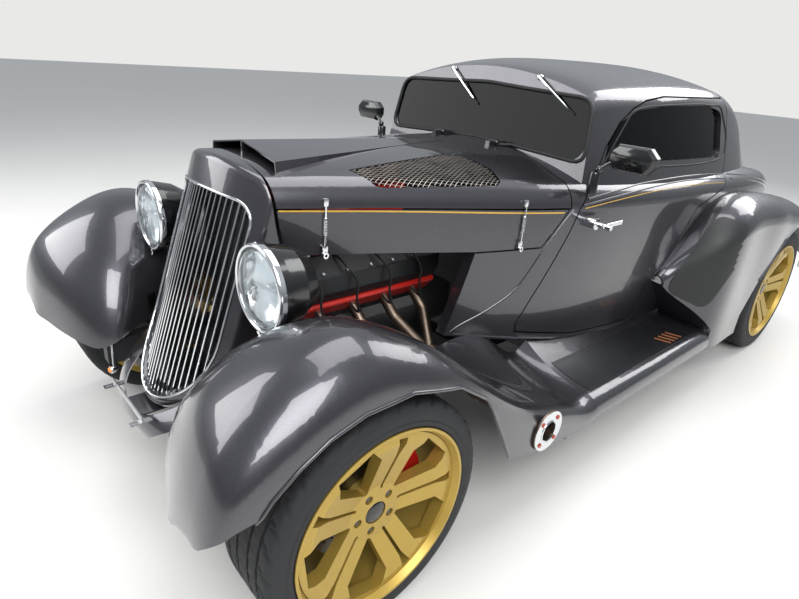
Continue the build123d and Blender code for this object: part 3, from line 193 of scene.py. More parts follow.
@dataclass(frozen=True)
class Finish:
    """One real surface: two close shades, its gloss, and its fine grain at a real size.

    Where low_base is given, it colours what lies below low_z.
    """

    name: str
    base: str
    shade: str
    mottle_mm: float = 60.0
    metallic: float = 0.0
    rough: float = 0.4
    rough_more: float = 0.08
    grain: Grain = Grain.PLAIN
    grain_mm: float = 1.0
    grain_depth_mm: float = 0.0
    coat: float = 0.0
    coat_rough: float = 0.03
    sheen: float = 0.0
    transmission: float = 0.0
    ior: float = 1.5
    low_z: float = 0.0
    low_base: str = ""

    def material(self) -> bpy.types.Material:
        """The Blender material, made once."""
        found = bpy.data.materials.get(self.name)
        return found if found else self._build()

    def _grain_height(self, tree: bpy.types.NodeTree, coords: bpy.types.NodeSocket) -> bpy.types.NodeSocket:
        """The height pattern of the fine grain."""
        scale = 1.0 / (self.grain_mm * MM)
        if self.grain in (Grain.FLAKE, Grain.PEBBLE):
            return add(tree, "ShaderNodeTexVoronoi", {"Vector": coords, "Scale": scale}).outputs["Distance"]
        if self.grain in BANDS:
            direction, profile = BANDS[self.grain]
            inputs = {"Vector": coords, "Scale": scale / WAVE_FACTOR, "Distortion": 0.0}
            return add(tree, "ShaderNodeTexWave", inputs, bands_direction=direction,
                       wave_profile=profile).outputs["Fac"]
        stretch = BRUSH_STRETCH if self.grain is Grain.BRUSHED else (1.0, 1.0, 1.0)
        scaled = add(tree, "ShaderNodeMapping", {"Vector": coords, "Scale": stretch})
        fine = add(tree, "ShaderNodeTexNoise",
                   {"Vector": scaled.outputs["Vector"], "Scale": scale, "Detail": 2.0})
        return fine.outputs["Fac"]

    def _build(self) -> bpy.types.Material:
        """Makes the node tree."""
        mat = bpy.data.materials.new(self.name)
        mat.use_nodes = True
        tree = mat.node_tree
        tree.nodes.clear()
        coords = add(tree, "ShaderNodeTexCoord").outputs["Object"]
        cloud = add(tree, "ShaderNodeTexNoise",
                    {"Vector": coords, "Scale": 1.0 / (self.mottle_mm * MM), "Detail": 4.0})
        factor = cloud.outputs["Fac"]
        if self.grain is Grain.FLAKE:
            glints = add(tree, "ShaderNodeTexVoronoi",
                         {"Vector": coords, "Scale": 1.0 / (self.grain_mm * MM)})
            factor = add(tree, "ShaderNodeSeparateColor", {"Color": glints.outputs["Color"]}).outputs[0]
        colour = add(tree, "ShaderNodeMix", {0: factor, 6: linear(self.base), 7: linear(self.shade)},
                     data_type="RGBA")
        if self.low_base:
            height = add(tree, "ShaderNodeSeparateXYZ", {"Vector": coords}).outputs["Z"]
            above = add(tree, "ShaderNodeMath", {0: height, 1: self.low_z}, operation="GREATER_THAN")
            colour = add(tree, "ShaderNodeMix",
                         {0: above.outputs[0], 6: linear(self.low_base), 7: colour.outputs[2]},
                         data_type="RGBA")
        rough = add(tree, "ShaderNodeMapRange", {
            "Value": cloud.outputs["Fac"], "From Min": NOISE_LOW, "From Max": NOISE_HIGH,
            "To Min": self.rough, "To Max": self.rough + self.rough_more,
        })
        shader = add(tree, "ShaderNodeBsdfPrincipled", {
            "Base Color": colour.outputs[2], "Roughness": rough.outputs["Result"], "Metallic": self.metallic,
            "Coat Weight": self.coat, "Coat Roughness": self.coat_rough, "Sheen Weight": self.sheen,
            "Transmission Weight": self.transmission, "IOR": self.ior,
        })
        if self.grain_depth_mm:
            bump = add(tree, "ShaderNodeBump", {"Height": self._grain_height(tree, coords), "Strength": 1.0,
                                                "Distance": self.grain_depth_mm * MM})
            tree.links.new(bump.outputs["Normal"], shader.inputs["Normal"])
        add(tree, "ShaderNodeOutputMaterial", {"Surface": shader.outputs["BSDF"]})
        return mat


class Finishes:
    """Every finish of the car."""

    # Grey basecoat with aluminium flake under clear lacquer: flakes are 0.05 mm, drawn at 0.9 mm to be seen
    LACQUER = Finish("metallic_lacquer_grey", "#3d3c41", "#4a494f", metallic=0.78, rough=0.27,
                     rough_more=0.04, grain=Grain.FLAKE, grain_mm=0.9, coat=1.0, coat_rough=0.025)
    # The same lacquer over a darker base, slightly duller: painted shade, a dark sheet laid on the running
    # boards where their tops lie in shadow and dark reflection
    LACQUER_PAINTED_SHADE = Finish("metallic_lacquer_painted_shade", "#1f2024", "#2a2b30", metallic=0.6, rough=0.36,
                          grain=Grain.FLAKE, grain_mm=1.2, coat=0.6, coat_rough=0.12)
    # Satin charcoal powder coat on the stone guards: its orange peel of about 0.8 mm blurs what they reflect
    GUARD = Finish("powder_coat_charcoal", "#1b1c1d", "#232424", rough=0.5, grain_mm=0.8, grain_depth_mm=0.05)
    # Black powder coat on the frame: glossier than the guards, with a coarser orange peel
    FRAME = Finish("powder_coat_black", "#121315", "#1c1d20", rough=0.45, grain_mm=1.0, grain_depth_mm=0.06)
    # Gold anodic paint on cast aluminium: satin, with a soft metallic sparkle
    GOLD = Finish("gold_wheel_paint", "#a88d3f", "#b99c4c", metallic=0.62, rough=0.38, rough_more=0.06,
                  grain=Grain.FLAKE, grain_mm=0.9, coat=0.2, coat_rough=0.15)
    # Tyre rubber: near black, dusty on the tread
    RUBBER = Finish("tyre_rubber", "#17181a", "#242527", rough=0.68, rough_more=0.12, grain_mm=1.4,
                    grain_depth_mm=0.08)
    # Moulded seal rubber: smoother and darker than the tyres, so it reads as a black line round the glass
    SEAL = Finish("epdm_rubber_seal", "#0d0e0f", "#151617", rough=0.55, grain_mm=0.8, grain_depth_mm=0.03)
    # Grey cast iron turned on its faces: dull metal with darker patches of a few millimetres
    IRON = Finish("turned_cast_iron", "#6a6a6b", "#868686", mottle_mm=9, metallic=1.0, rough=0.34,
                  rough_more=0.12, grain_mm=0.7, grain_depth_mm=0.03)
    # Enamel on the brake calipers: glossy red over the faintly rough casting
    CALIPER = Finish("caliper_enamel_red", "#a30d0f", "#b31a17", rough=0.3, coat=0.5, grain_mm=1.2,
                     grain_depth_mm=0.05)
    # Nickel-chrome plate: mirror bright with the faintest haze
    CHROME = Finish("chrome_plate", "#d7d9dc", "#e6e8ea", metallic=1.0, rough=0.06, rough_more=0.04)
    # Polished stainless: fine lines along x draw each highlight out
    STEEL = Finish("polished_stainless", "#b9babb", "#cfd0d1", metallic=1.0, rough=0.16, rough_more=0.08,
                   grain=Grain.BRUSHED, grain_mm=0.5, grain_depth_mm=0.01)
    # Header pipes: stainless blued and browned by heat
    HEADER = Finish("heat_stained_steel", "#8b7b6c", "#5f544c", mottle_mm=70, metallic=1.0, rough=0.33,
                    rough_more=0.15, grain_mm=0.9, grain_depth_mm=0.02)
    # Red enamel on the engine down to the heads' lower edge; what lies below that is black
    ENGINE_RED = Finish("engine_enamel_red", "#b81a14", "#cc2a1e", rough=0.32, coat=0.6, grain_mm=2.5,
                        grain_depth_mm=0.12, low_z=0.605, low_base="#141517")
    # Wrinkle coat on the valve covers: small pebbles break the light into points
    COVER_BLACK = Finish("wrinkle_coat_black", "#111214", "#1b1c1e", rough=0.38, grain=Grain.PEBBLE,
                         grain_mm=1.6, grain_depth_mm=0.12)
    # Nitrile hoses, leads and belt: matt black
    HOSE = Finish("nitrile_hose", "#141516", "#1f2021", rough=0.5, grain_mm=1.2, grain_depth_mm=0.05)
    # Tinted safety glass in an even dark grey that hides the cabin: partly its tint, partly painted shade of
    # the dark cabin behind it; a low index keeps its reflections faint
    TINTED_GLASS_AND_SHADE = Finish("tinted_glass_painted_shade", "#0a0c0e", "#0d1012", rough=0.02, rough_more=0.01, transmission=0.55,
                    ior=1.2)
    # Pressed lamp glass: clear, with soft upright flutes that break the bowl's image up
    LENS = Finish("fluted_lamp_glass", "#e4ebef", "#eef4f6", rough=0.04, rough_more=0.02, transmission=0.9,
                  ior=1.45, grain=Grain.FLUTED, grain_mm=5.0, grain_depth_mm=0.3)
    # Silvered bowl behind the lamp glass: bright, slightly milky
    REFLECTOR = Finish("silvered_reflector", "#e8ebee", "#f3f5f6", metallic=1.0, rough=0.1)
    # Dyed lens of the signal lamps: even amber under a glossy skin
    AMBER = Finish("amber_lens", "#e07a14", "#f08c22", rough=0.12, coat=0.6)
    # Ruby lens of the tail lamps: deep red under a glossy skin
    RED_LENS = Finish("ruby_lens", "#8e0808", "#a81010", rough=0.1, coat=0.8)
    # Moulded black plastic: dark with sharp highlights
    GLOSS_BLACK = Finish("gloss_black_abs", "#0b0c0d", "#121314", rough=0.14, rough_more=0.05, coat=0.5)
    # Silvered glass: a clean, slightly blue image
    MIRROR = Finish("mirror_glass", "#cfd6da", "#d6dde1", metallic=1.0, rough=0.03, rough_more=0.01)
    # Black hide: a pebble of about 3 mm and a soft sheen where it turns away
    LEATHER = Finish("black_leather", "#191716", "#23201e", rough=0.45, rough_more=0.1, grain=Grain.PEBBLE,
                     grain_mm=3.0, grain_depth_mm=0.25, sheen=0.1)
    # Loop carpet: quite matt, with tufts of about 4 mm
    CARPET = Finish("loop_carpet", "#1d1d1f", "#2a2a2d", rough=0.9, grain=Grain.PEBBLE, grain_mm=4.0,
                    grain_depth_mm=1.0, sheen=0.3)
    # Painted radiator core: level rows of fins with dark gaps
    CORE = Finish("radiator_core_black", "#161718", "#232426", metallic=0.3, rough=0.5, grain=Grain.CORE,
                  grain_mm=9.0, grain_depth_mm=2.0)
    # Bright drawn wire in the vents: a warm grey glitter
    MESH = Finish("bright_wire_mesh", "#8f8a84", "#a6a09a", metallic=1.0, rough=0.25, rough_more=0.1)
    # Copper vinyl: the flat warm slashes beside the boards' dark sheets of painted shade
    SLASH = Finish("stripe_copper_vinyl", "#8f5836", "#9a613c", rough=0.35, coat=0.3)
    # Sign-writer's enamel: a thin gold line, glossier than the wheels
    PIN_GOLD = Finish("pinstripe_gold", "#c79a2e", "#d0a63a", rough=0.3, coat=0.5)
    # Zinc plate on the covers' bolts: cool grey, half bright
    BOLT = Finish("zinc_plated_bolt", "#9b9da0", "#b4b6b8", metallic=1.0, rough=0.28, rough_more=0.1)
    # Anodised bolts on the outlet flanges: a satin copper red
    COPPER_BOLT = Finish("anodised_bolt_red", "#b4543f", "#c2634c", metallic=0.8, rough=0.3)


# Mesh building


class MeshKit:
    """Collects vertices and faces, and turns them into one piece."""

    def __init__(self) -> None:
        """Starts empty."""
        self.verts: list[Vector] = []
        self.faces: list[tuple[int, ...]] = []

    def rings(self, rings: Sequence[Sequence[Vector]], close_path: bool = False) -> "MeshKit":
        """Skins closed rings of equal length one after the other.

        Args:
            rings: The rings, each a closed loop of points.
            close_path: True where the last ring joins the first; otherwise both ends are closed by a face.
        """
        base, size = len(self.verts), len(rings[0])
        for ring in rings:
            self.verts.extend(ring)
        spans = len(rings) if close_path else len(rings) - 1
        for i in range(spans):
            a, b = base + i * size, base + ((i + 1) % len(rings)) * size
            for k in range(size):
                j = (k + 1) % size
                self.faces.append((a + k, a + j, b + j, b + k))
        if not close_path:
            self.faces.append(tuple(base + k for k in reversed(range(size))))
            last = base + (len(rings) - 1) * size
            self.faces.append(tuple(last + k for k in range(size)))
        return self

    def tube(self, path: Sequence[Vector], radius: float | Sequence[float], sides: int = 8,
             closed: bool = False, flat: float = 1.0, up: Optional[Vector] = None) -> "MeshKit":
        """A tube along a path.

        Args:
            path: Points of its centre line.
            radius: One radius, or one for each point.
            sides: Points round the tube.
            closed: True where the path is a loop.
            flat: The height of the section over its width.
            up: A direction that the section's height follows.
        """
        count = len(path)
        rings: list[list[Vector]] = []
        normal: Optional[Vector] = None
        for i, point in enumerate(path):
            before = path[i - 1] if (i or closed) else path[i]
            after = path[(i + 1) % count] if (i < count - 1 or closed) else path[i]
            along = (after - before).normalized()
            if up is not None:
                normal = (up - along * up.dot(along)).normalized()
            elif normal is None:
                start = UP if abs(along.z) < 0.9 else AHEAD
                normal = (start - along * start.dot(along)).normalized()
            else:
                normal = (normal - along * normal.dot(along)).normalized()
            side = along.cross(normal)
            r = radius if isinstance(radius, (int, float)) else radius[i]
            rings.append([point + side * (r * math.cos(2 * math.pi * k / sides))
                          + normal * (r * flat * math.sin(2 * math.pi * k / sides)) for k in range(sides)])
        return self.rings(rings, close_path=closed)

    def lathe(self, profile: Sequence[tuple[float, float]], centre: Vector, axis: Vector, segments: int = 48,
              closed: bool = True) -> "MeshKit":
        """Turns a profile of (radius, distance along the axis).

        Args:
            profile: The section; closed means that it is a full loop, as of a ring.
            centre: A point on the axis, where the distance is 0.
            axis: The axis.
            segments: Steps round the axis.
            closed: True for a ring's section, False for an open shell such as a bowl.
        """
        turn = axis.to_track_quat("Z", "Y").to_matrix()
        base, size = len(self.verts), len(profile)
        for i in range(segments):
            a = 2 * math.pi * i / segments
            self.verts.extend(centre + turn @ Vector((r * math.cos(a), r * math.sin(a), h))
                              for r, h in profile)
        for i in range(segments):
            p, q = base + i * size, base + ((i + 1) % segments) * size
            for k in range(size if closed else size - 1):
                j = (k + 1) % size
                self.faces.append((p + k, q + k, q + j, p + j))
        return self

    def block(self, centre: Vector, size: Place, bevel: float) -> "MeshKit":
        """A box with rounded edges.

        Args:
            centre: Its middle.
            size: Its three sides.
            bevel: How far its edges are cut back.
        """
        bm = bmesh.new()
        bmesh.ops.create_cube(bm, size=1.0)
        bmesh.ops.scale(bm, vec=Vector(size), verts=bm.verts)
        bmesh.ops.bevel(bm, geom=list(bm.edges), offset=bevel, segments=2, affect="EDGES", profile=0.6)
        bm.verts.index_update()
        base = len(self.verts)
        self.verts.extend(centre + v.co for v in bm.verts)
        self.faces.extend(tuple(base + v.index for v in face.verts) for face in bm.faces)
        bm.free()
        return self

    def hexagon(self, centre: Vector, axis: Vector, radius: float, height: float) -> "MeshKit":
        """A bolt head with a chamfer."""
        turn = axis.to_track_quat("Z", "Y").to_matrix()
        corners = [(radius * math.cos(math.pi * k / 3), radius * math.sin(math.pi * k / 3)) for k in range(6)]
        rings = [[centre + turn @ Vector((x * share, y * share, height * level)) for x, y in corners]
                 for share, level in ((1.0, 0.0), (1.0, 0.8), (0.86, 1.0))]
        return self.rings(rings)

    def piece(self, name: str, finish: Finish, body: str, slot: str,
              smooth: float = 35.0) -> bpy.types.Object:
        """Makes the object, dresses it and lets it ride on a CAD body.

        Args:
            name: The piece's name.
            finish: Its finish.
            body: The CAD body that it moves with.
            slot: The record's material slot; not used.
            smooth: Edges flatter than this angle are shaded smooth.

        Returns:
            The new object.
        """
        mesh = bpy.data.meshes.new(name)
        mesh.from_pydata([tuple(v) for v in self.verts], [], self.faces)
        mesh.validate()
        bm = bmesh.new()
        bm.from_mesh(mesh)
        bmesh.ops.recalc_face_normals(bm, faces=bm.faces)
        limit = math.radians(smooth)
        for edge in bm.edges:
            edge.smooth = len(edge.link_faces) == 2 and edge.calc_face_angle(0.0) < limit
        for face in bm.faces:
            face.smooth = True
        bm.to_mesh(mesh)
        bm.free()
        obj = bpy.data.objects.new(name, mesh)
        bpy.context.scene.collection.objects.link(obj)
        obj.data.materials.append(finish.material())
        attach(obj, body)
        LOG.info("piece %s: %d faces on %s", name, len(mesh.polygons), body)
        return obj


class Skin:
    """The outer surface of some CAD nodes, to lay trim on."""

    def __init__(self, frame: dict, nodes: Sequence[str]) -> None:
        """Reads the nodes' triangles."""
        verts: list[Vector] = []
        faces: list[tuple[int, ...]] = []
        for name in nodes:
            mesh = frame["nodes"][name].data
            base = len(verts)
            verts.extend(v.co.copy() for v in mesh.vertices)
            faces.extend(tuple(base + i for i in poly.vertices) for poly in mesh.polygons)
        self.tree = BVHTree.FromPolygons(verts, faces)

    def hit(self, origin: Vector, direction: Vector) -> Optional[tuple[Vector, Vector]]:
        """The first point met from an origin, with its normal turned to face the origin."""
        point, normal, _, _ = self.tree.ray_cast(origin, direction)
        if point is None:
            return None
        return point, (normal if normal.dot(direction) < 0 else -normal)

    def from_side(self, x: float, z: float) -> Optional[tuple[Vector, Vector]]:
        """The body's left side at a place in side view."""
        return self.hit(Vector((x, BESIDE_Y, z)), -LEFTWARD)

    def from_top(self, x: float, y: float) -> Optional[tuple[Vector, Vector]]:
        """The body's top at a place in plan."""
        return self.hit(Vector((x, y, ABOVE_Z)), DOWN)


def laid_side(skin: Skin, points: Sequence[tuple[float, float]], step: float, lift: float,
              closed: bool = False) -> list[Vector]:
    """A side-view line, (x, z), laid on the left side of the car.

    Args:
        skin: The surface that it lies on.
        points: The line's points in metres.
        step: Distance between samples.
        lift: How far it stands off the surface.
        closed: True for a loop.

    Returns:
        The points on the surface.
    """
    line = spaced([Vector((x, 0, z)) for x, z in points], step, closed)
    return [point + normal * lift for point, normal in filter(None, (skin.from_side(p.x, p.z) for p in line))]


# Camera, light and floor


@dataclass(frozen=True)
class SoftLamp:
    """A square lamp: its place, side and power in watts, and the point that it looks at."""

    name: str
    place: Place
    size: float
    power: float
    aim: Place


@dataclass
class Studio:
    """The photograph's view, soft light and a pale floor."""

    place: Place = (2.324, 1.633, 1.428)
    azimuth_deg: float = -132.97
    elevation_deg: float = -23.35
    roll_deg: float = 4.51
    lens_mm: float = 25.55
    sensor_mm: float = 36.0
    clip: tuple[float, float] = (0.05, 200.0)
    lamps: tuple[SoftLamp, ...] = (
        SoftLamp("key", (3.2, 4.2, 4.6), 3.6, 330.0, (0.2, 0, 0.6)),
        SoftLamp("fill", (4.6, -3.4, 3.2), 3.2, 150.0, (0.4, 0, 0.6)),
        SoftLamp("back", (-4.6, 1.0, 4.2), 3.4, 170.0, (-0.4, 0, 0.8)),
        SoftLamp("top", (0.2, 0.0, 5.2), 4.0, 170.0, (0.2, 0, 0)),
    )
    # What the camera sees, and what lights the car: its strength rises from the horizon to overhead
    backdrop: str = "#e9e9e8"
    sky: str = "#e3e8ee"
    sky_heights: tuple[float, float] = (-0.05, 0.5)
    sky_strengths: tuple[float, float] = (0.28, 0.72)
    floor_size: float = 60.0
    # Just under the tyres, so that their contact patches don't flicker
    floor_z: float = -0.0005
    floor_finish: Finish = Finish("studio_floor", "#d6d5d2", "#dad9d6", mottle_mm=900, rough=0.75)

    def camera(self) -> None:
        """Places the camera where the photograph was taken."""
        az, el, roll = (math.radians(a) for a in (self.azimuth_deg, self.elevation_deg, self.roll_deg))
        forward = Vector((math.cos(el) * math.cos(az), math.cos(el) * math.sin(az), math.sin(el)))
        level = forward.cross(UP).normalized()
        above = level.cross(forward)
        right = level * math.cos(roll) + above * math.sin(roll)
        up = above * math.cos(roll) - level * math.sin(roll)
        data = bpy.data.cameras.new("camera")
        data.lens, data.sensor_width = self.lens_mm, self.sensor_mm
        data.clip_start, data.clip_end = self.clip
        cam = bpy.data.objects.new("camera", data)
        turn = Matrix((right, up, -forward)).transposed().to_4x4()
        cam.matrix_world = Matrix.Translation(self.place) @ turn
        bpy.context.scene.collection.objects.link(cam)
        bpy.context.scene.camera = cam

    def light(self) -> None:
        """Large soft lamps over a pale world."""
        for lamp in self.lamps:
            data = bpy.data.lights.new(lamp.name, "AREA")
            data.shape, data.size, data.energy = "SQUARE", lamp.size, lamp.power
            obj = bpy.data.objects.new(lamp.name, data)
            obj.location = lamp.place
            obj.rotation_euler = (Vector(lamp.aim) - Vector(lamp.place)).to_track_quat("-Z", "Y").to_euler()
            bpy.context.scene.collection.objects.link(obj)
        world = bpy.data.worlds.new("studio")
        world.use_nodes = True
        tree = world.node_tree
        tree.nodes.clear()
        rays = add(tree, "ShaderNodeLightPath")
        seen = add(tree, "ShaderNodeMath",
                   {0: rays.outputs["Is Camera Ray"], 1: rays.outputs["Is Transmission Ray"]},
                   operation="MAXIMUM")
        coords = add(tree, "ShaderNodeTexCoord")
        height = add(tree, "ShaderNodeSeparateXYZ", {"Vector": coords.outputs["Generated"]})
        (low, high), (weak, strong) = self.sky_heights, self.sky_strengths
        lift = add(tree, "ShaderNodeMapRange",
                   {"Value": height.outputs["Z"], "From Min": low, "From Max": high,
                    "To Min": weak, "To Max": strong})
        around = add(tree, "ShaderNodeBackground",
                     {"Color": linear(self.sky), "Strength": lift.outputs["Result"]})
        pale = add(tree, "ShaderNodeBackground", {"Color": linear(self.backdrop), "Strength": 1.0})
        mix = add(tree, "ShaderNodeMixShader", {0: seen.outputs[0], 1: around.outputs[0], 2: pale.outputs[0]})
        add(tree, "ShaderNodeOutputWorld", {"Surface": mix.outputs[0]})
        bpy.context.scene.world = world
        bpy.context.scene.view_settings.view_transform = "Standard"

    def floor(self) -> None:
        """A large pale floor that keeps the shadow."""
        s, z = self.floor_size / 2, self.floor_z
        mesh = bpy.data.meshes.new("floor")
        mesh.from_pydata([(-s, -s, z), (s, -s, z), (s, s, z), (-s, s, z)], [], [(0, 1, 2, 3)])
        obj = bpy.data.objects.new("floor", mesh)
        bpy.context.scene.collection.objects.link(obj)
        obj.data.materials.append(self.floor_finish.material())

    def build(self) -> None:
        """Camera, lights and floor."""
        self.camera()
        self.light()
        self.floor()


# Wheels


@dataclass(frozen=True)
class Wheel:
    """Where a wheel turns and how wide its tyre is.

    It stands on the floor, so its height is the tyre's radius.
    """

    end: str
    side: int
    x: float
    z: float
    width: float

    @property
    def tag(self) -> str:
        """The end and the side, as names carry them."""
        return f"{self.end}_{SIDE_NAME[self.side]}"

    def at(self, radius: float, angle: float, y: float) -> Vector:
        """A point at a radius and an angle about the axle, at a distance from the car's middle."""
        return spot(self.side, self.x + radius * math.cos(angle), y, self.z + radius * math.sin(angle))


class Zone(Enum):
    """The parts of a tyre's section, which are cut in different ways."""

    WALL = "wall"
    SHOULDER = "shoulder"
    RIB = "rib"
    GROOVE = "groove"


@dataclass
class Tyre:
    """A low-profile road tyre: rounded sidewall, rim guard, four grooves and cut shoulders."""

    wheel: Wheel
    face_y: float = 0.845
    bead_r: float = 0.2703
    # Up the sidewall and past the rim guard: distance in from the face, height above the bead
    wall: Outline = ((0.0065, 0.0), (0.0022, 0.004), (0.0004, 0.010), (0.0006, 0.016), (0.0030, 0.019),
                     (0.0022, 0.030), (0.0030, 0.042))
    # On to the tread: distance in from the face, depth below the tread
    shoulder: Outline = ((0.0070, 0.0155), (0.0105, 0.0095), (0.0165, 0.0045), (0.026, 0.0018),
                         (0.040, 0.0008))
    # Where the grooves start, as shares of the way from the shoulder to the middle
    groove_starts: tuple[float, ...] = (0.10, 0.62)
    groove_depth: float = 0.0065
    groove_w: float = 0.010
    groove_wall: float = 0.001
    # How far the ribs are worn at the two edges of a groove
    groove_lips: tuple[float, float] = (0.0006, 0.0003)
    middle_in: float = 0.004
    inner_in: float = 0.012
    inner_r: float = 0.2626
    segments: int = 288
    # Cuts lean with the distance from the middle, one segment for each step
    slant_step: float = 0.0075
    shoulder_cut: float = 0.005
    shoulder_every: int = 8
    shoulder_reach: float = 0.012
    sipe: float = 0.003
    sipe_every: int = 6

    def section(self) -> list[tuple[float, float, Zone]]:
        """Half of the section from the bead to the middle: (distance in from the face, radius, zone)."""
        r, middle = self.wheel.z, self.wheel.width / 2
        points = [(d, self.bead_r + height, Zone.WALL) for d, height in self.wall]
        points += [(d, r - depth, Zone.SHOULDER) for d, depth in self.shoulder]
        edge = self.shoulder[-1][0]
        for share in self.groove_starts:
            start = edge + share * (middle - edge)
            points += [(start, r - self.groove_lips[0], Zone.RIB),
                       (start + self.groove_wall, r - self.groove_depth, Zone.GROOVE),
                       (start + (self.groove_w - self.groove_wall), r - self.groove_depth, Zone.GROOVE),
                       (start + self.groove_w, r - self.groove_lips[1], Zone.RIB)]
        return points + [(middle - self.middle_in, r, Zone.RIB)]

    def build(self) -> None:
        """Makes the tyre and hides the plain solid."""
        wheel, half = self.wheel, self.section()
        full = half + [(wheel.width - d, r, zone) for d, r, zone in reversed(half)]
        full += [(d, self.inner_r, Zone.WALL) for d in (wheel.width - self.inner_in, self.inner_in)]
        rings = []
        for k in range(self.segments):
            a = 2 * math.pi * k / self.segments
            ring = []
            for d, r, zone in full:
                turn = k + int(abs(d - wheel.width / 2) / self.slant_step)
                outer = r > wheel.z - self.shoulder_reach
                if zone is Zone.SHOULDER and turn % self.shoulder_every == 0 and outer:
                    r -= self.shoulder_cut
                elif zone is Zone.RIB and turn % self.sipe_every == 0:
                    r -= self.sipe
                ring.append(spot(wheel.side, wheel.x + r * math.sin(a), self.face_y - d,
                                 wheel.z - r * math.cos(a)))
            rings.append(ring)
        kit = MeshKit().rings(rings, close_path=True)
        obj = kit.piece(f"tyre_{wheel.tag}_tread", Finishes.RUBBER, f"wheel_{wheel.tag}", "tyre", smooth=28)
        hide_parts(f"tyre_{wheel.tag}")


@dataclass
class WheelDress:
    """Lug bolts in their recesses, the centre cap and the drilled pattern of the disc, whose holes are flat
    black dots of painted shade.
    """

    wheel: Wheel
    hub_y: float = 0.795
    bolts: int = 5
    bolt_circle: float = 0.057
    first_bolt_deg: float = -78.6
    bolt_in: float = 0.010
    bolt_r: float = 0.0088
    bolt_high: float = 0.007
    cap_in: float = 0.012
    cap_r: float = 0.0325
    drill_y: float = 0.7348
    drill_r: float = 0.0042
    # Radius of each row and how many drillings it has; each row is turned on by a share of its pitch
    drill_rows: tuple[tuple[float, int], ...] = ((0.104, 15), (0.122, 15), (0.141, 15), (0.156, 15))
    drill_turn: float = 0.27

    def build(self) -> None:
        """Makes the wheel's small pieces."""
        wheel, cap_r, dot_r = self.wheel, self.cap_r, self.drill_r
        body, axis = f"wheel_{wheel.tag}", Vector((0, wheel.side, 0))
        kit = MeshKit()
        for k in range(self.bolts):
            a = math.radians(self.first_bolt_deg + 360 / self.bolts * k)
            kit.hexagon(wheel.at(self.bolt_circle, a, self.hub_y - self.bolt_in), axis,
                        self.bolt_r, self.bolt_high)
        kit.piece(f"wheel_bolts_{wheel.tag}", Finishes.GLOSS_BLACK, body, "cover_black")
        kit = MeshKit().lathe([(0.0, 0.0), (cap_r, 0.0), (cap_r, 0.011), (cap_r - 0.003, 0.0145),
                               (cap_r * 0.6, 0.0165), (0.0, 0.0175)],
                              wheel.at(0.0, 0.0, self.hub_y - self.cap_in), axis, 48, closed=False)
        kit.piece(f"wheel_cap_{wheel.tag}", Finishes.GLOSS_BLACK, body, "cover_black", smooth=50)
        # The drilled holes are thin flat dots in black powder coat: painted shade in place of the holes' dark
        # insides
        kit = MeshKit()
        for row, (radius, count) in enumerate(self.drill_rows):
            for k in range(count):
                a = 2 * math.pi * (k + row * self.drill_turn) / count
                kit.lathe([(0.0, 0.0), (dot_r, 0.0), (dot_r, 0.0004), (0.0, 0.0005)],
                          wheel.at(radius, a, self.drill_y), axis, 10, closed=False)
        kit.piece(f"disc_hole_painted_shade_{wheel.tag}", Finishes.FRAME, body, "frame_black")


# Grille and lamps


@dataclass
class GrilleTrim:
    """The bright ring that lines the shell's opening, on the raked and bowed plane."""

    top_x: float = 1.619
    top_z: float = 1.127
    rake_deg: float = 18.1
    bow: float = 0.070
    half_w: float = 0.228
    open_top_z: float = 1.034
    corner_z: float = 0.955
    corner_r: float = 0.068
    low_z: float = 0.392
    ring_r: float = 0.0045

    def face_x(self, y: float, z: float) -> float:
        """The shell's front at a point seen from ahead."""
        radius = (self.half_w ** 2 + self.bow ** 2) / (2 * self.bow)
        back = radius - math.sqrt(radius ** 2 - y ** 2)
        return self.top_x + (self.top_z - z) * math.tan(math.radians(self.rake_deg)) - back

    def outline(self) -> list[Vector]:
        """The opening's edge as a closed loop: crown, rounded corners, sides and a half circle below."""
        points: list[tuple[float, float]] = []

        def arc(cy: float, cz: float, radius: float, a0: float, a1: float, count: int) -> None:
            """Adds points of an arc, without its last."""
            points.extend((cy + radius * math.cos(a0 + (a1 - a0) * k / count),
                           cz + radius * math.sin(a0 + (a1 - a0) * k / count)) for k in range(count))

        crown_steps, corner_steps, side_steps, foot_steps = 24, 12, 20, 64
        half, y0, z0 = self.half_w, self.half_w - self.corner_r, self.corner_z
        inner_top, turn_z = self.open_top_z - self.corner_r, self.low_z + self.half_w
        crown_z = (inner_top ** 2 - y0 ** 2 - z0 ** 2) / (2 * (inner_top - z0))
        tilt = math.atan2(y0, z0 - crown_z)
        quarter = math.pi / 2
        arc(0, crown_z, self.open_top_z - crown_z, quarter - tilt, quarter + tilt, crown_steps)
        arc(-y0, z0, self.corner_r, quarter + tilt, math.pi, corner_steps)
        points.extend((-half, z0 + (turn_z - z0) * k / side_steps) for k in range(side_steps))
        arc(0, turn_z, half, math.pi, 2 * math.pi, foot_steps)
        points.extend((half, turn_z + (z0 - turn_z) * k / side_steps) for k in range(side_steps))
        arc(y0, z0, self.corner_r, 0, quarter - tilt, corner_steps)
        return [Vector((self.face_x(y, z), y, z)) for y, z in points]

    def build(self) -> None:
        """Makes the ring."""
        kit = MeshKit().tube(self.outline(), self.ring_r, 10, closed=True)
        kit.piece("grille_inner_ring", Finishes.CHROME, "body", "chrome", smooth=60)


@dataclass(frozen=True)
class LampPart:
    """A turned piece of a headlamp.

    The rows of its section are (share of the lamp's radius, what is taken off that, distance ahead of
    the face).
    """

    name: str
    finish: Finish
    slot: str
    segments: int
    closed: bool
    rows: tuple[Place, ...]


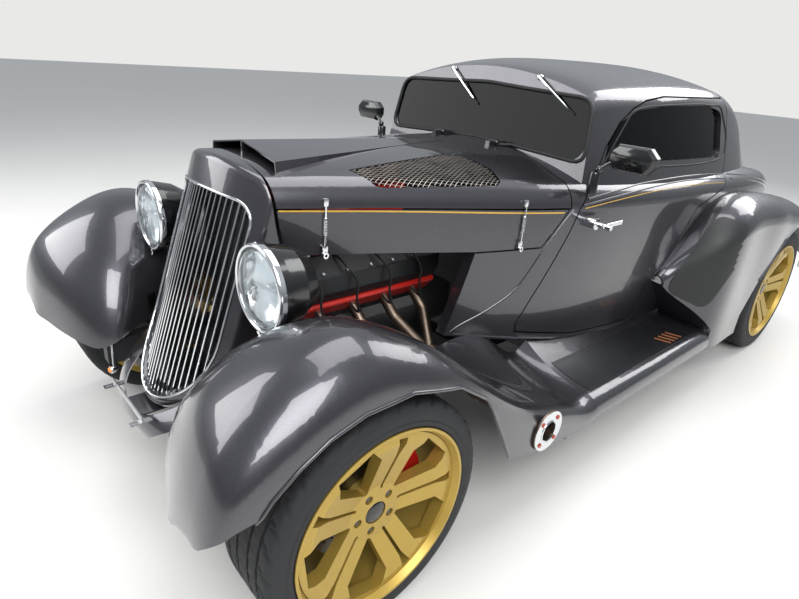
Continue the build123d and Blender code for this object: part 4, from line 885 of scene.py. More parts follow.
@dataclass
class Headlamp:
    """Chrome rim, domed fluted glass, silvered bowl and bulb in the bullet-shaped bucket."""

    side: int
    face_x: float = 1.670
    y: float = 0.394
    z: float = 0.842
    radius: float = 0.120
    parts: tuple[LampPart, ...] = (
        LampPart("rim", Finishes.CHROME, "chrome", 72, True, (
            (1, 0.0095, -0.010), (1, -0.0030, -0.012), (1, -0.0032, 0.000), (1, -0.0005, 0.0065),
            (1, 0.0045, 0.0090), (1, 0.0095, 0.0070), (1, 0.0110, 0.0020))),
        LampPart("lens", Finishes.LENS, "lens_glass", 72, False, (
            (1, 0.0115, -0.004), (1, 0.0115, 0.0015), (0.82, 0, 0.0085), (0.55, 0, 0.0140), (0.28, 0, 0.0168),
            (0, 0, 0.0178), (0, 0, 0.0138), (0.28, 0, 0.0128), (0.55, 0, 0.0100), (0.82, 0, 0.0045),
            (1, 0.0125, -0.004))),
        LampPart("bowl", Finishes.REFLECTOR, "chrome", 64, True, (
            (1, 0.0165, -0.012), (0.80, 0, -0.034), (0.55, 0, -0.052), (0.25, 0, -0.064), (0, -0.018, -0.067),
            (0, -0.018, -0.068), (0.25, 0, -0.0655), (0.55, 0, -0.0535), (0.80, 0, -0.0355),
            (1, 0.0155, -0.013))),
        LampPart("bulb", Finishes.REFLECTOR, "lens_glass", 24, False, (
            (0, 0, -0.020), (0, -0.006, -0.022), (0, -0.009, -0.030), (0, -0.009, -0.066), (0, 0, -0.067))),
    )

    def build(self) -> None:
        """Makes the lamp's front."""
        tag, centre = SIDE_NAME[self.side], spot(self.side, self.face_x, self.y, self.z)
        for part in self.parts:
            profile = [(share * self.radius - less, ahead) for share, less, ahead in part.rows]
            kit = MeshKit().lathe(profile, centre, AHEAD, part.segments, closed=part.closed)
            obj = kit.piece(f"lamp_{part.name}_{tag}", part.finish, "body", part.slot, smooth=60)
            if part.name == "lens" and self.side > 0:
                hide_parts("headlamp_lenses")
        low = centre + Vector((-0.004, 0, -(self.radius + 0.003)))
        clip = MeshKit().block(low + Vector((0, 0, -0.004)), (0.022, 0.016, 0.010), 0.002)
        clip.tube([low + Vector((0.006, 0, -0.008)), low + Vector((0.010, 0, -0.022))], 0.003, 8)
        clip.piece(f"lamp_clip_{tag}", Finishes.CHROME, "body", "chrome")


# Body trim


def raised(line: Outline, height: float) -> Outline:
    """A side-view line, moved up."""
    return tuple((x, z + height) for x, z in line)


def grown(line: Outline, along: float, up: float) -> Outline:
    """A side-view outline, scaled about the mean of its points."""
    x0, z0 = (sum(values) / len(line) for values in zip(*line))
    return tuple((x0 + (x - x0) * along, z0 + (z - z0) * up) for x, z in line)


@dataclass(frozen=True)
class Bead:
    """A thin line on both of the car's sides.

    It has the node it lies on, its course in side view, (x, z), and its section.
    """

    name: str
    node: str
    line: Outline
    radius: float
    flat: float = 0.8
    step: float = 0.02
    lift: float = 0.0
    finish: Finish = Finishes.LACQUER
    slot: str = "paint"
    closed: bool = False

    def path(self, frame: dict) -> list[Vector]:
        """The line's points on the left side."""
        return laid_side(Skin(frame, [self.node]), self.line, self.step, self.lift, self.closed)

    def build(self, path: list[Vector]) -> None:
        """Makes the bead along a path on the left, and its mirror image; on a door it moves with the door."""
        for tag, points in (("left", path), ("right", mirror_y(path))):
            kit = MeshKit().tube(points, self.radius, 8, closed=self.closed, flat=self.flat, up=LEFTWARD)
            body = f"door_{tag}" if self.node == "door_left" else "body"
            kit.piece(f"{self.name}_{tag}", self.finish, body, self.slot, smooth=60)


BELT_DOOR = ((0.480, 0.986), (0.300, 1.004), (0.050, 1.018), (-0.250, 1.022), (-0.500, 1.014),
             (-0.672, 1.004))
BELT_QUARTER = ((-0.722, 1.000), (-0.900, 0.984), (-1.100, 0.958), (-1.300, 0.922), (-1.480, 0.880))
DOOR_GLASS = ((-0.640, 1.090), (-0.664, 1.285), (-0.500, 1.315), (-0.086, 1.312), (0.125, 1.296),
              (0.252, 1.250), (0.318, 1.180), (0.342, 1.112))
# How far beads and stripes stand off the surface, and how far each belt bead lies from the belt's middle
PROUD, STRIPE_PROUD, BELT_HALF = 0.0005, 0.0002, 0.009
BEADS = (
    Bead("cowl_moulding", "body_shell", ((0.526, 0.964), (0.567, 0.916), (0.630, 0.821), (0.711, 0.683),
                                         (0.806, 0.608), (0.903, 0.556), (0.940, 0.528)),
         0.0045, flat=0.7, step=0.012, lift=PROUD),
    Bead("sill_moulding", "body_shell", ((0.930, 0.520), (0.850, 0.500), (0.743, 0.478), (0.600, 0.447),
                                         (0.346, 0.396), (0.150, 0.379), (-0.017, 0.371), (-0.120, 0.369)),
         0.0040, flat=0.7, step=0.014),
    *(Bead(f"belt_bead_{level}_{part}", node, raised(belt, height), 0.0040)
      for level, height in (("high", BELT_HALF), ("low", -BELT_HALF))
      for part, node, belt in (("door", "door_left", BELT_DOOR), ("quarter", "body_shell", BELT_QUARTER))),
    Bead("pinstripe_panel", "hood_sides", ((0.545, 0.955), (0.836, 0.969), (1.180, 0.986), (1.481, 1.001),
                                           (1.540, 1.004)),
         0.0024, flat=0.3, lift=STRIPE_PROUD, finish=Finishes.PIN_GOLD, slot="gold_wheel"),
    Bead("pinstripe_door", "door_left", ((0.470, 0.966), (0.300, 0.982), (0.050, 0.994), (-0.250, 0.996),
                                         (-0.500, 0.988), (-0.660, 0.978)),
         0.0018, flat=0.3, lift=STRIPE_PROUD, finish=Finishes.PIN_GOLD, slot="gold_wheel"),
    Bead("glass_seal", "door_left", grown(DOOR_GLASS, 1.012, 1.03), 0.0042, step=0.018, lift=PROUD,
         finish=Finishes.SEAL, slot="trim_dark", closed=True),
)
ARCHES = (
    (FRONT_AXLE_X, Bead("front_arch_roll", "front_fenders", (
        (1.931, 0.566), (1.900, 0.608), (1.840, 0.658), (1.770, 0.700), (1.681, 0.725), (1.542, 0.725),
        (1.372, 0.676), (1.261, 0.600), (1.172, 0.444), (1.117, 0.338)), 0.0050, flat=1.0, step=0.015)),
    (REAR_AXLE_X, Bead("rear_arch_roll", "rear_fenders", (
        (-0.845, 0.513), (-1.075, 0.690), (-1.215, 0.738), (-1.335, 0.740), (-1.495, 0.690),
        (-1.705, 0.520)), 0.0050, flat=1.0, step=0.015)),
)


@dataclass
class BodyTrim:
    """Beads and stripes, rolled fender edges and seals, laid on the body's skin."""

    frame: dict
    # An arch's roll lies outside its line, away from a hub at this height, where the fender is this far out
    arch_out: float = 0.004
    arch_hub_z: float = 0.36
    fender_out_y: float = 0.70
    # The windows' corners, (y, z), and the places along x from which they are looked at
    windscreen: Outline = ((-0.524, 1.112), (0, 1.140), (0.524, 1.112), (0.494, 1.330),
                           (0, 1.345), (-0.494, 1.330))
    rear_window: Outline = ((-0.330, 1.150), (0.330, 1.150), (0.300, 1.290), (-0.300, 1.290))
    ahead_x: float = 1.2
    behind_x: float = -2.2
    seal_r: float = 0.0075

    def build(self) -> None:
        """Lays every line."""
        for bead in BEADS:
            bead.build(bead.path(self.frame))
        for hub_x, bead in ARCHES:
            bead.build(self.arch_line(bead, hub_x))
        self.screen_seals(Skin(self.frame, ["body_shell"]))

    def arch_line(self, bead: Bead, hub_x: float) -> list[Vector]:
        """A line that runs just outside a wheel arch's edge, on the fender's side."""
        skin, hub = Skin(self.frame, [bead.node]), Vector((hub_x, 0, self.arch_hub_z))
        laid: list[Vector] = []
        for (x0, z0), (x1, z1) in zip(bead.line, bead.line[1:]):
            start, end = Vector((x0, 0, z0)), Vector((x1, 0, z1))
            parts = max(1, round((end - start).length / bead.step))
            for k in range(parts):
                p = start.lerp(end, k / parts)
                p = p + (p - hub).normalized() * self.arch_out
                found = skin.from_side(p.x, p.z)
                if found and found[0].y > self.fender_out_y:
                    laid.append(found[0])
        return laid

    def screen_seals(self, shell: Skin) -> None:
        """Rubber round the windscreen and the rear window."""
        for name, outline, start, direction in (("windscreen_seal", self.windscreen, self.ahead_x, -AHEAD),
                                                ("rear_window_seal", self.rear_window, self.behind_x, AHEAD)):
            found = (shell.hit(Vector((start, p.y, p.z)), direction) for p in self.rounded(outline))
            line = [point + normal * PROUD for point, normal in filter(None, found)]
            kit = MeshKit().tube(line, self.seal_r, 8, closed=True)
            kit.piece(name, Finishes.SEAL, "body", "trim_dark", smooth=60)

    def rounded(self, outline: Sequence[tuple[float, float]], reach: float = 0.055, out: float = 0.006,
                step: float = 0.02) -> list[Vector]:
        """A (y, z) outline with rounded corners off the middle, grown outward and cut into even steps."""
        mid = Vector((0, sum(y for y, _ in outline), sum(z for _, z in outline))) / len(outline)
        loop: list[Vector] = []
        size = len(outline)
        for i in range(size):
            p, before, after = (Vector((0, *outline[(i + k) % size])) for k in (0, -1, 1))
            if abs(p.y) < 0.1:
                loop.append(p)
                continue
            first, last = p + (before - p).normalized() * reach, p + (after - p).normalized() * reach
            loop.extend(first.lerp(p, t).lerp(p.lerp(last, t), t) for t in (0, 0.25, 0.5, 0.75, 1))
        path: list[Vector] = []
        for i, p in enumerate(loop):
            q = loop[(i + 1) % len(loop)]
            parts = max(1, int((q - p).length / step))
            path.extend(p.lerp(q, k / parts) for k in range(parts))
        return [p + (p - mid).normalized() * out for p in path]


# Hood: wire mesh in the vents, latches, scoop


@dataclass
class HoodTrim:
    """Diamond mesh in the two vents and four spring latches."""

    frame: dict
    # The left vent's corners in plan, (x, y), and the place that its wires are counted from
    vent: Outline = ((1.282, 0.241), (0.846, 0.219), (0.776, 0.262), (0.766, 0.372),
                     (0.808, 0.464), (1.244, 0.332))
    middle: Place = (1.02, 0.33, 0)
    pitch: float = 0.0125
    wires: int = 30
    step: float = 0.012
    steps: int = 34
    # Slant of each layer's wires in radians, and how far the layer lies below the sheet
    layers: Outline = ((0.42, 0.001), (-0.42, 0.0028))
    wire_r: float = 0.0014
    # Where the latches are: name, x, height of the upper and of the lower end
    latch_places: tuple[tuple[str, float, float, float], ...] = (("front", 1.411, 1.022, 0.888),
                                                                 ("rear", 0.745, 0.996, 0.862))
    latch_off: float = 0.010
    rod_r: float = 0.0026
    # The spring on the rod: where it starts, its share of the rod, its turns and its points
    coil_start: float = 0.30
    coil_share: float = 0.42
    coil_turns: int = 12
    coil_points: int = 120
    coil_r: float = 0.0055
    coil_wire_r: float = 0.0013

    def inside(self, x: float, y: float) -> bool:
        """Whether a plan point lies in the left vent."""
        hit = False
        points = self.vent
        for i, (x1, y1) in enumerate(points):
            x0, y0 = points[i - 1]
            if (y0 > y) != (y1 > y) and x < (x0 - x1) * (y - y1) / (y0 - y1) + x1:
                hit = not hit
        return hit

    def mesh(self) -> None:
        """Crossing wires at the diamond's two slants."""
        skin = Skin(self.frame, ["hood_mesh"])
        kit = MeshKit()
        for slant, below in self.layers:
            direction = Vector((math.cos(slant), math.sin(slant), 0))
            across = Vector((-direction.y, direction.x, 0))
            for k in range(-self.wires, self.wires + 1):
                run: list[Vector] = []
                # One step past the last ends a run that is still open
                for j in range(-self.steps, self.steps + 2):
                    p = Vector(self.middle) + across * (k * self.pitch) + direction * (j * self.step)
                    within = j <= self.steps and self.inside(p.x, p.y)
                    found = skin.from_top(p.x, p.y) if within else None
                    if found:
                        run.append(found[0] - UP * below)
                        continue
                    if len(run) > 1:
                        kit.tube(run, self.wire_r, 5)
                        kit.tube(mirror_y(run), self.wire_r, 5)
                    run = []
        obj = kit.piece("vent_wire_mesh", Finishes.MESH, "hood", "mesh_steel", smooth=60)
        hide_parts("hood_mesh")

    def latches(self) -> None:
        """Spring latches between the hood's top and its sides."""
        panel = Skin(self.frame, ["hood_sides", "hood"])
        for tag, x, z_top, z_low in self.latch_places:
            (top, _), (low, _) = panel.from_side(x, z_top), panel.from_side(x, z_low)
            for side, name in SIDE_NAME.items():
                a, b = (spot(side, end.x, end.y + self.latch_off, end.z) for end in (top, low))
                kit = MeshKit().tube([a.lerp(b, t / 20) for t in range(21)], self.rod_r, 8)
                coil = []
                for k in range(self.coil_points + 1):
                    t = k / self.coil_points
                    turn = t * 2 * math.pi * self.coil_turns
                    along = a.lerp(b, self.coil_start + self.coil_share * t)
                    coil.append(along + Vector((math.cos(turn), math.sin(turn) * side, 0)) * self.coil_r)
                kit.tube(coil, self.coil_wire_r, 5)
                kit.block(a + spot(side, 0, -0.005, 0.003), (0.016, 0.014, 0.024), 0.003)
                kit.block(b + spot(side, 0, -0.005, -0.006), (0.020, 0.014, 0.026), 0.004)
                kit.lathe([(0.0045, -0.004), (0.0095, -0.004), (0.0095, 0.004), (0.0045, 0.004)],
                          b + spot(side, 0, 0.003, -0.022), LEFTWARD, 20)
                kit.piece(f"hood_latch_{tag}_{name}", Finishes.CHROME, "body", "chrome")

    def build(self) -> None:
        """Mesh and latches."""
        self.mesh()
        self.latches()


# Mirrors and wipers


@dataclass
class Mirror:
    """Elongated six-sided housing on a ball joint, with the glass facing rearward."""

    side: int
    centre: Place = (0.449, 0.708, 1.160)
    size: Place = (0.046, 0.170, 0.086)
    # The housing's outline from behind, as shares of half its width and height
    outline: Outline = ((-1, -0.30), (-0.72, -1), (0.70, -1), (1, -0.25), (1, 0.35), (0.66, 1), (-0.66, 1),
                        (-1, 0.42))
    # From the glass to the front: place as a share of half the depth, and the outline's scale there
    depths: Outline = ((-1.0, 0.93), (-0.92, 1.0), (0.1, 1.0), (0.65, 0.86), (1.0, 0.52))
    glass_scale: tuple[float, float] = (0.88, 0.86)
    foot: tuple[float, float] = (0.462, 0.590)
    foot_profile: Outline = ((0.0, 1.020), (0.019, 1.020), (0.019, 1.092), (0.0165, 1.098), (0.0, 1.100))
    ball: Place = (0.460, 0.600, 1.108)
    ball_r: float = 0.0135
    arm: tuple[Place, ...] = ((0.455, 0.625, 1.130), (0.452, 0.650, 1.148))
    arm_r: float = 0.0075

    def build(self) -> bpy.types.Object:
        """Makes housing, arm, base and glass.

        Returns:
            The housing, with its arm and base.
        """
        tag, side = SIDE_NAME[self.side], self.side
        cx, cy, cz = self.centre
        sx, sy, sz = (s / 2 for s in self.size)
        outline = [(y * sy, z * sz) for y, z in self.outline]
        kit = MeshKit().rings([[spot(side, cx + depth * sx, cy + y * scale, cz + z * scale)
                                for y, z in outline] for depth, scale in self.depths])
        kit.lathe(self.foot_profile, spot(side, *self.foot, 0), UP, 32, closed=False)
        ball, turns = spot(side, *self.ball), [math.radians(d) for d in range(-90, 91, 15)]
        arc = [(self.ball_r * math.cos(a), self.ball_r * math.sin(a)) for a in turns]
        kit.lathe(arc, ball, UP, 24, closed=False)
        kit.tube([ball, *(spot(side, *place) for place in self.arm)], self.arm_r, 10)
        obj = kit.piece(f"mirror_housing_{tag}", Finishes.GLOSS_BLACK, "body", "black_plastic", smooth=30)
        across, high = self.glass_scale
        glass = MeshKit().rings([[spot(side, cx + d, cy + y * across, cz + z * high) for y, z in outline]
                                 for d in (-sx - 0.0004, -sx + 0.002)])
        glass.piece(f"mirror_glass_{tag}", Finishes.MIRROR, "body", "chrome")
        return obj


@dataclass
class Wiper:
    """A short chrome arm from a pivot above the glass, with its rubber blade in line with it."""

    tag: str
    # Places seen from ahead, (y, z), found on the body by rays from ahead_x
    pivot: tuple[float, float]
    tip: tuple[float, float]
    ahead_x: float = 1.2
    pivot_axis: Place = (1, 0, 0.15)
    pivot_profile: Outline = ((0.0, -0.006), (0.011, -0.006), (0.011, 0.008), (0.007, 0.018), (0.0, 0.020))
    # Radii at the arm's root, at its bend and past its tip, the bend as a share of the way, and how far it
    # runs past the tip
    arm_radii: Place = (0.0046, 0.0040, 0.0032)
    bend: float = 0.35
    past_tip: float = 0.020
    # How far the arm and its tip stand off, and where the blade lies from the tip
    arm_off: Place = (0.016, 0, 0.004)
    tip_off: Place = (0.010, 0, 0.002)
    blade_off: Place = (-0.0055, 0, 0)
    blade_half: float = 0.055
    blade_r: float = 0.0030

    def build(self, frame: dict) -> bpy.types.Object:
        """Makes pivot, arm and blade.


        Returns:
            The arm with its pivot.
        """
        skin = Skin(frame, ["body_shell", "screen_glass"])
        (root, _), (tip, _) = (skin.hit(Vector((self.ahead_x, *place)), -AHEAD)
                               for place in (self.pivot, self.tip))
        tip = tip + Vector(self.tip_off)
        out, along = Vector(self.arm_off), (tip - root).normalized()
        kit = MeshKit().lathe(self.pivot_profile, root, Vector(self.pivot_axis), 24, closed=False)
        kit.tube([root + out, root.lerp(tip, self.bend) + out, tip + along * self.past_tip],
                 self.arm_radii, 8)
        arm = kit.piece(f"wiper_arm_{self.tag}", Finishes.CHROME, "body", "black_plastic")
        low, half = Vector(self.blade_off), along * self.blade_half
        blade = MeshKit().tube([tip - half + low, tip + low, tip + half + low], self.blade_r, 8)
        blade.piece(f"wiper_blade_{self.tag}", Finishes.SEAL, "body", "black_plastic")
        return arm


# Engine, exhaust and front


@dataclass
class EngineTrim:
    """Cover bolts, plug leads, hoses and the pulleys' belt."""

    front_x: float = 1.425
    rear_x: float = 0.865
    # The valve covers lean outward; their two rows of bolts, (y, z), and along each row start, pitch and
    # number
    cover_lean: tuple[float, float] = (0.624, 0.781)
    bolt_rows: Outline = ((0.262, 0.778), (0.176, 0.809))
    bolt_start: float = 0.045
    bolt_pitch: float = 0.094
    bolts: int = 6
    # A lead on the left, from the block up past the cover; x counts from the lead's own start
    lead: tuple[Place, ...] = ((0.03, 0.232, 0.640), (0.03, 0.277, 0.625), (0.05, 0.292, 0.690),
                               (0.05, 0.292, 0.745), (0.08, 0.262, 0.800), (0.09, 0.15, 0.835))
    lead_start: float = 0.070
    lead_pitch: float = 0.140
    leads: int = 4
    hose: tuple[Place, ...] = ((1.445, 0.09, 0.72), (1.452, 0.13, 0.78), (1.466, 0.15, 0.86),
                               (1.478, 0.15, 0.90))
    # The pulleys that the belt runs round: height, radius, first and last angle
    pulleys: tuple[tuple[float, float, float, float], ...] = ((0.640, 0.062, 10, 170),
                                                              (0.470, 0.087, 190, 350))
    belt_ahead: float = 0.016

    def build(self) -> None:
        """Makes what shows in the open bay."""
        bolts, leads, hoses = MeshKit(), MeshKit(), MeshKit()
        for side in SIDE_NAME:
            lean = spot(side, 0, *self.cover_lean)
            for k in range(self.bolts):
                for y, z in self.bolt_rows:
                    x = self.rear_x + self.bolt_start + k * self.bolt_pitch
                    bolts.hexagon(spot(side, x, y, z), lean, 0.0065, 0.008)
            for k in range(self.leads):
                start = self.rear_x + self.lead_start + k * self.lead_pitch
                leads.tube(spaced([spot(side, start + x, y, z) for x, y, z in self.lead], 0.012), 0.0042, 7)
            hoses.tube(spaced([spot(side, *place) for place in self.hose], 0.015), 0.019, 14)
        bolts.piece("cover_bolts", Finishes.BOLT, "body", "cover_black")
        leads.piece("plug_leads", Finishes.HOSE, "body", "cover_black", smooth=60)
        hoses.piece("radiator_hoses", Finishes.HOSE, "body", "cover_black", smooth=60)
        loop = []
        for height, radius, first, last in self.pulleys:
            for k in range(13):
                a = math.radians(first + (last - first) * k / 12)
                y, z = radius * math.cos(a), height + radius * math.sin(a)
                loop.append(Vector((self.front_x + self.belt_ahead, y, z)))
        belt = MeshKit().tube(loop, 0.005, 6, closed=True, flat=1.6, up=AHEAD)
        belt.piece("drive_belt", Finishes.HOSE, "body", "cover_black", smooth=60)


@dataclass
class ExhaustTrim:
    """A polished plate with four bolts and a rolled lip on each side flange."""

    centre: Place = (0.931, 0.877, 0.366)
    plate_r: float = 0.0705
    lip_r: float = 0.0385
    bore_r: float = 0.0335
    plate: float = 0.0012
    bolt_circle: float = 0.054

    def build(self) -> None:
        """Makes the flange's details."""
        for side, tag in SIDE_NAME.items():
            axis, face = Vector((0, side, 0)), spot(side, *self.centre)
            kit = MeshKit()
            for a in (math.radians(45 + 90 * k) for k in range(4)):
                place = spot(side, self.bolt_circle * math.cos(a), self.plate, self.bolt_circle * math.sin(a))
                kit.hexagon(face + place, axis, 0.0078, 0.0035)
            kit.piece(f"flange_bolts_{tag}", Finishes.COPPER_BOLT, "body", "header_steel")
            plate = [(self.lip_r, 0.0), (self.plate_r, 0.0), (self.plate_r, self.plate),
                     (self.lip_r, self.plate)]
            ring = [(self.bore_r, -0.012), (self.lip_r, -0.012), (self.lip_r, 0.003), (0.036, 0.0045),
                    (self.bore_r, 0.003)]
            kit = MeshKit().lathe(plate, face, axis, 64).lathe(ring, face, axis, 48)
            kit.piece(f"outlet_plate_{tag}", Finishes.CHROME, "body", "header_steel", smooth=40)


@dataclass
class FrontTrim:
    """Small amber lamps that hang from the front fenders' inner edges."""

    place: Place = (1.884, 0.310, 0.326)
    hold: Place = (1.862, 0.345, 0.440)
    radius: float = 0.013

    def build(self) -> None:
        """Makes lamps, rings and stalks."""
        rings, lenses, r = MeshKit(), MeshKit(), self.radius
        shell = [(0.0, -0.026), (r * 0.6, -0.023), (r, -0.012), (r + 0.002, 0.0), (r + 0.001, 0.003),
                 (r - 0.001, 0.003), (r - 0.001, -0.004), (0.0, -0.006)]
        lens = [(0.0, -0.004), (r - 0.0015, -0.004), (r - 0.0015, 0.004), (r * 0.6, 0.009), (0.0, 0.011)]
        for side in SIDE_NAME:
            centre, top = spot(side, *self.place), spot(side, *self.hold)
            rings.lathe(shell, centre, AHEAD, 32, closed=False)
            stalk = [centre + Vector((-0.010, 0, 0.006)), centre.lerp(top, 0.4) + Vector((-0.006, 0, 0)), top]
            rings.tube(stalk, 0.004, 8)
            lenses.lathe(lens, centre, AHEAD, 32, closed=False)
        rings.piece("signal_bodies", Finishes.CHROME, "body", "chrome", smooth=60)
        lenses.piece("signal_lenses", Finishes.AMBER, "body", "lens_glass", smooth=60)


# Sheets laid on the fenders and boards


Grid = dict[tuple[int, int], tuple[Vector, Vector]]


def laid_sheet(name: str, grid: Grid, lift: float, thick: float, finish: Finish, slot: str) -> None:
    """Doubles a grid of surface points into a thin sheet on the left, with its mirror image on the right.

    Args:
        name: The name that both pieces start with.
        grid: Row and column to a point of the surface and its normal.
        lift: How far the outer face stands off the surface.
        thick: The sheet's thickness.
        finish: Its finish.
        slot: The record's material slot.
    """
    cells = {(i, j) for i, j in grid if all((i + a, j + b) in grid for a in (0, 1) for b in (0, 1))}
    for side, tag in SIDE_NAME.items():
        kit = MeshKit()
        index: dict[tuple[int, int, int], int] = {}
        for (i, j), (point, normal) in grid.items():
            for layer in (0, 1):
                q = point + normal * (lift - thick * layer)
                index[i, j, layer] = len(kit.verts)
                kit.verts.append(spot(side, *q))
        for i, j in sorted(cells):
            a, b, c, d = (i, j), (i + 1, j), (i + 1, j + 1), (i, j + 1)
            for layer in (0, 1):
                kit.faces.append(tuple(index[(*p, layer)] for p in (a, b, c, d)))
            for beyond, p, q in (((i - 1, j), a, d), ((i + 1, j), b, c), ((i, j - 1), a, b),
                                 ((i, j + 1), d, c)):
                if beyond not in cells:
                    kit.faces.append((index[(*p, 0)], index[(*q, 0)], index[(*q, 1)], index[(*p, 1)]))
        kit.piece(f"{name}_{tag}", finish, "body", slot, smooth=50)


@dataclass
class StoneGuard:
    """A satin sheet with rounded corners that follows the leading face of a rear fender."""

    frame: dict
    centre: Place = (-0.360, 0.780, 0.670)
    look: Place = (-0.920, -0.292, -0.260)
    # Across and up from the centre, seen along look: upper left, upper right, lower right, lower left
    corners: Outline = ((-0.031, 0.209), (0.158, 0.189), (0.036, -0.214), (-0.145, -0.168))
    rows: int = 40
    cols: int = 20
    # The ends round off over this share of the length, down to a width less by end_squeeze
    round_share: float = 0.16
    end_squeeze: float = 0.34
    # Parts of the fender whose normal looks less far ahead than this stay bare
    least_ahead: float = 0.12
    lift: float = 0.0026
    thick: float = 0.0018

    def build(self) -> None:
        """Lays a grid on the fender along the look and doubles it into a sheet."""
        skin = Skin(self.frame, ["rear_fenders"])
        look = Vector(self.look).normalized()
        right = look.cross(UP).normalized()
        up = right.cross(look)
        high_in, high_out, low_out, low_in = (Vector((a, b, 0)) for a, b in self.corners)
        grid: Grid = {}
        for i in range(self.rows + 1):
            v = i / self.rows
            end = max(0.0, 1 - min(v, 1 - v) / self.round_share)
            squeeze = 1 - self.end_squeeze * (1 - math.sqrt(1 - end ** 2))
            for j in range(self.cols + 1):
                u = 0.5 + (j / self.cols - 0.5) * squeeze
                flat = high_in.lerp(high_out, u).lerp(low_in.lerp(low_out, u), v)
                p = Vector(self.centre) + right * flat.x + up * flat.y
                found = skin.hit(p - look, look)
                if found and found[1].x > self.least_ahead:
                    grid[i, j] = found
        laid_sheet("stone_guard", grid, self.lift, self.thick, Finishes.GUARD, "trim_dark")


@dataclass
class FenderToe:
    """The foot of each rear fender's face, from its lower edge down to the end of the running board."""

    frame: dict
    # The fender's lower edge in side view, (x, z), from the body out to its corner
    edge_high: tuple[float, float] = (-0.170, 0.569)
    edge_low: tuple[float, float] = (-0.402, 0.353)
    body_y: float = 0.616
    edge_flare: float = 0.49
    board_x: float = -0.397
    board_in_y: float = 0.600
    board_out_y: float = 0.845
    columns: int = 24
    rows: int = 12
    thick: float = 0.004

    def build(self) -> None:
        """Spans a sheet from the fender's edge to the board's rear edge."""
        fender, board = Skin(self.frame, ["rear_fenders"]), Skin(self.frame, ["running_boards"])
        tops, feet = [], []
        for i in range(self.columns + 1):
            t = i / self.columns
            x, z = (high + (low - high) * t for high, low in zip(self.edge_high, self.edge_low))
            found = fender.from_side(x, z)
            tops.append(found[0] if found else Vector((x, self.body_y + self.edge_flare * t, z)))
            y = self.board_in_y + (self.board_out_y - self.board_in_y) * t
            feet.append(board.from_top(self.board_x, y)[0])
        out = (tops[-1] - tops[0]).cross(feet[0] - tops[0]).normalized()
        out = out if out.x > 0 else -out
        grid: Grid = {(i, j): (tops[i].lerp(feet[i], j / self.rows), out)
                      for i in range(self.columns + 1) for j in range(self.rows + 1)}
        laid_sheet("fender_toe", grid, 0.0, self.thick, Finishes.LACQUER, "paint")


@dataclass
class BoardShadeSheet:
    """A dark sheet of painted shade on a running board's top, inside a margin of paint, with four plain
    slashes.
    """

    frame: dict
    x_range: tuple[float, float] = (-0.270, 0.560)
    y_range: tuple[float, float] = (0.628, 0.812)
    step: float = 0.02
    lift: float = 0.0016
    # Only what is level and low is covered, not the fenders' sides
    least_level: float = 0.85
    highest: float = 0.40
    slash_x: tuple[float, ...] = (-0.085, -0.120, -0.155, -0.190)
    slash_y: tuple[float, float] = (0.735, 0.800)
    slash_slant: float = 0.025
    slash_lift: float = 0.0019
    slash_r: float = 0.0065

    def build(self) -> None:
        """Lays the sheet of painted shade and the slashes."""
        skin = Skin(self.frame, ["running_boards", "rear_fenders", "front_fenders"])
        (x0, x1), (y0, y1) = self.x_range, self.y_range
        rows, cols = round((x1 - x0) / self.step), round((y1 - y0) / self.step)
        grid: Grid = {}
        for i in range(rows + 1):
            for j in range(cols + 1):
                found = skin.from_top(x0 + (x1 - x0) * i / rows, y0 + (y1 - y0) * j / cols)
                if found and found[1].z > self.least_level and found[0].z < self.highest:
                    grid[i, j] = found
        # The dark sheet is painted shade: it darkens the board's top where shadow and dark reflection lie
        laid_sheet("board_painted_shade", grid, self.lift, self.lift * 0.9, Finishes.LACQUER_PAINTED_SHADE, "trim_dark")
        kit = MeshKit()
        start, end = self.slash_y
        for x in self.slash_x:
            line = []
            for t in (0, 0.25, 0.5, 0.75, 1):
                point, normal = skin.from_top(x - self.slash_slant * t, start + (end - start) * t)
                line.append(point + normal * self.slash_lift)
            for path in (line, mirror_y(line)):
                kit.tube(path, self.slash_r, 4, flat=0.06, up=UP)
        kit.piece("board_slashes", Finishes.SLASH, "body", "trim_dark")


# Cabin


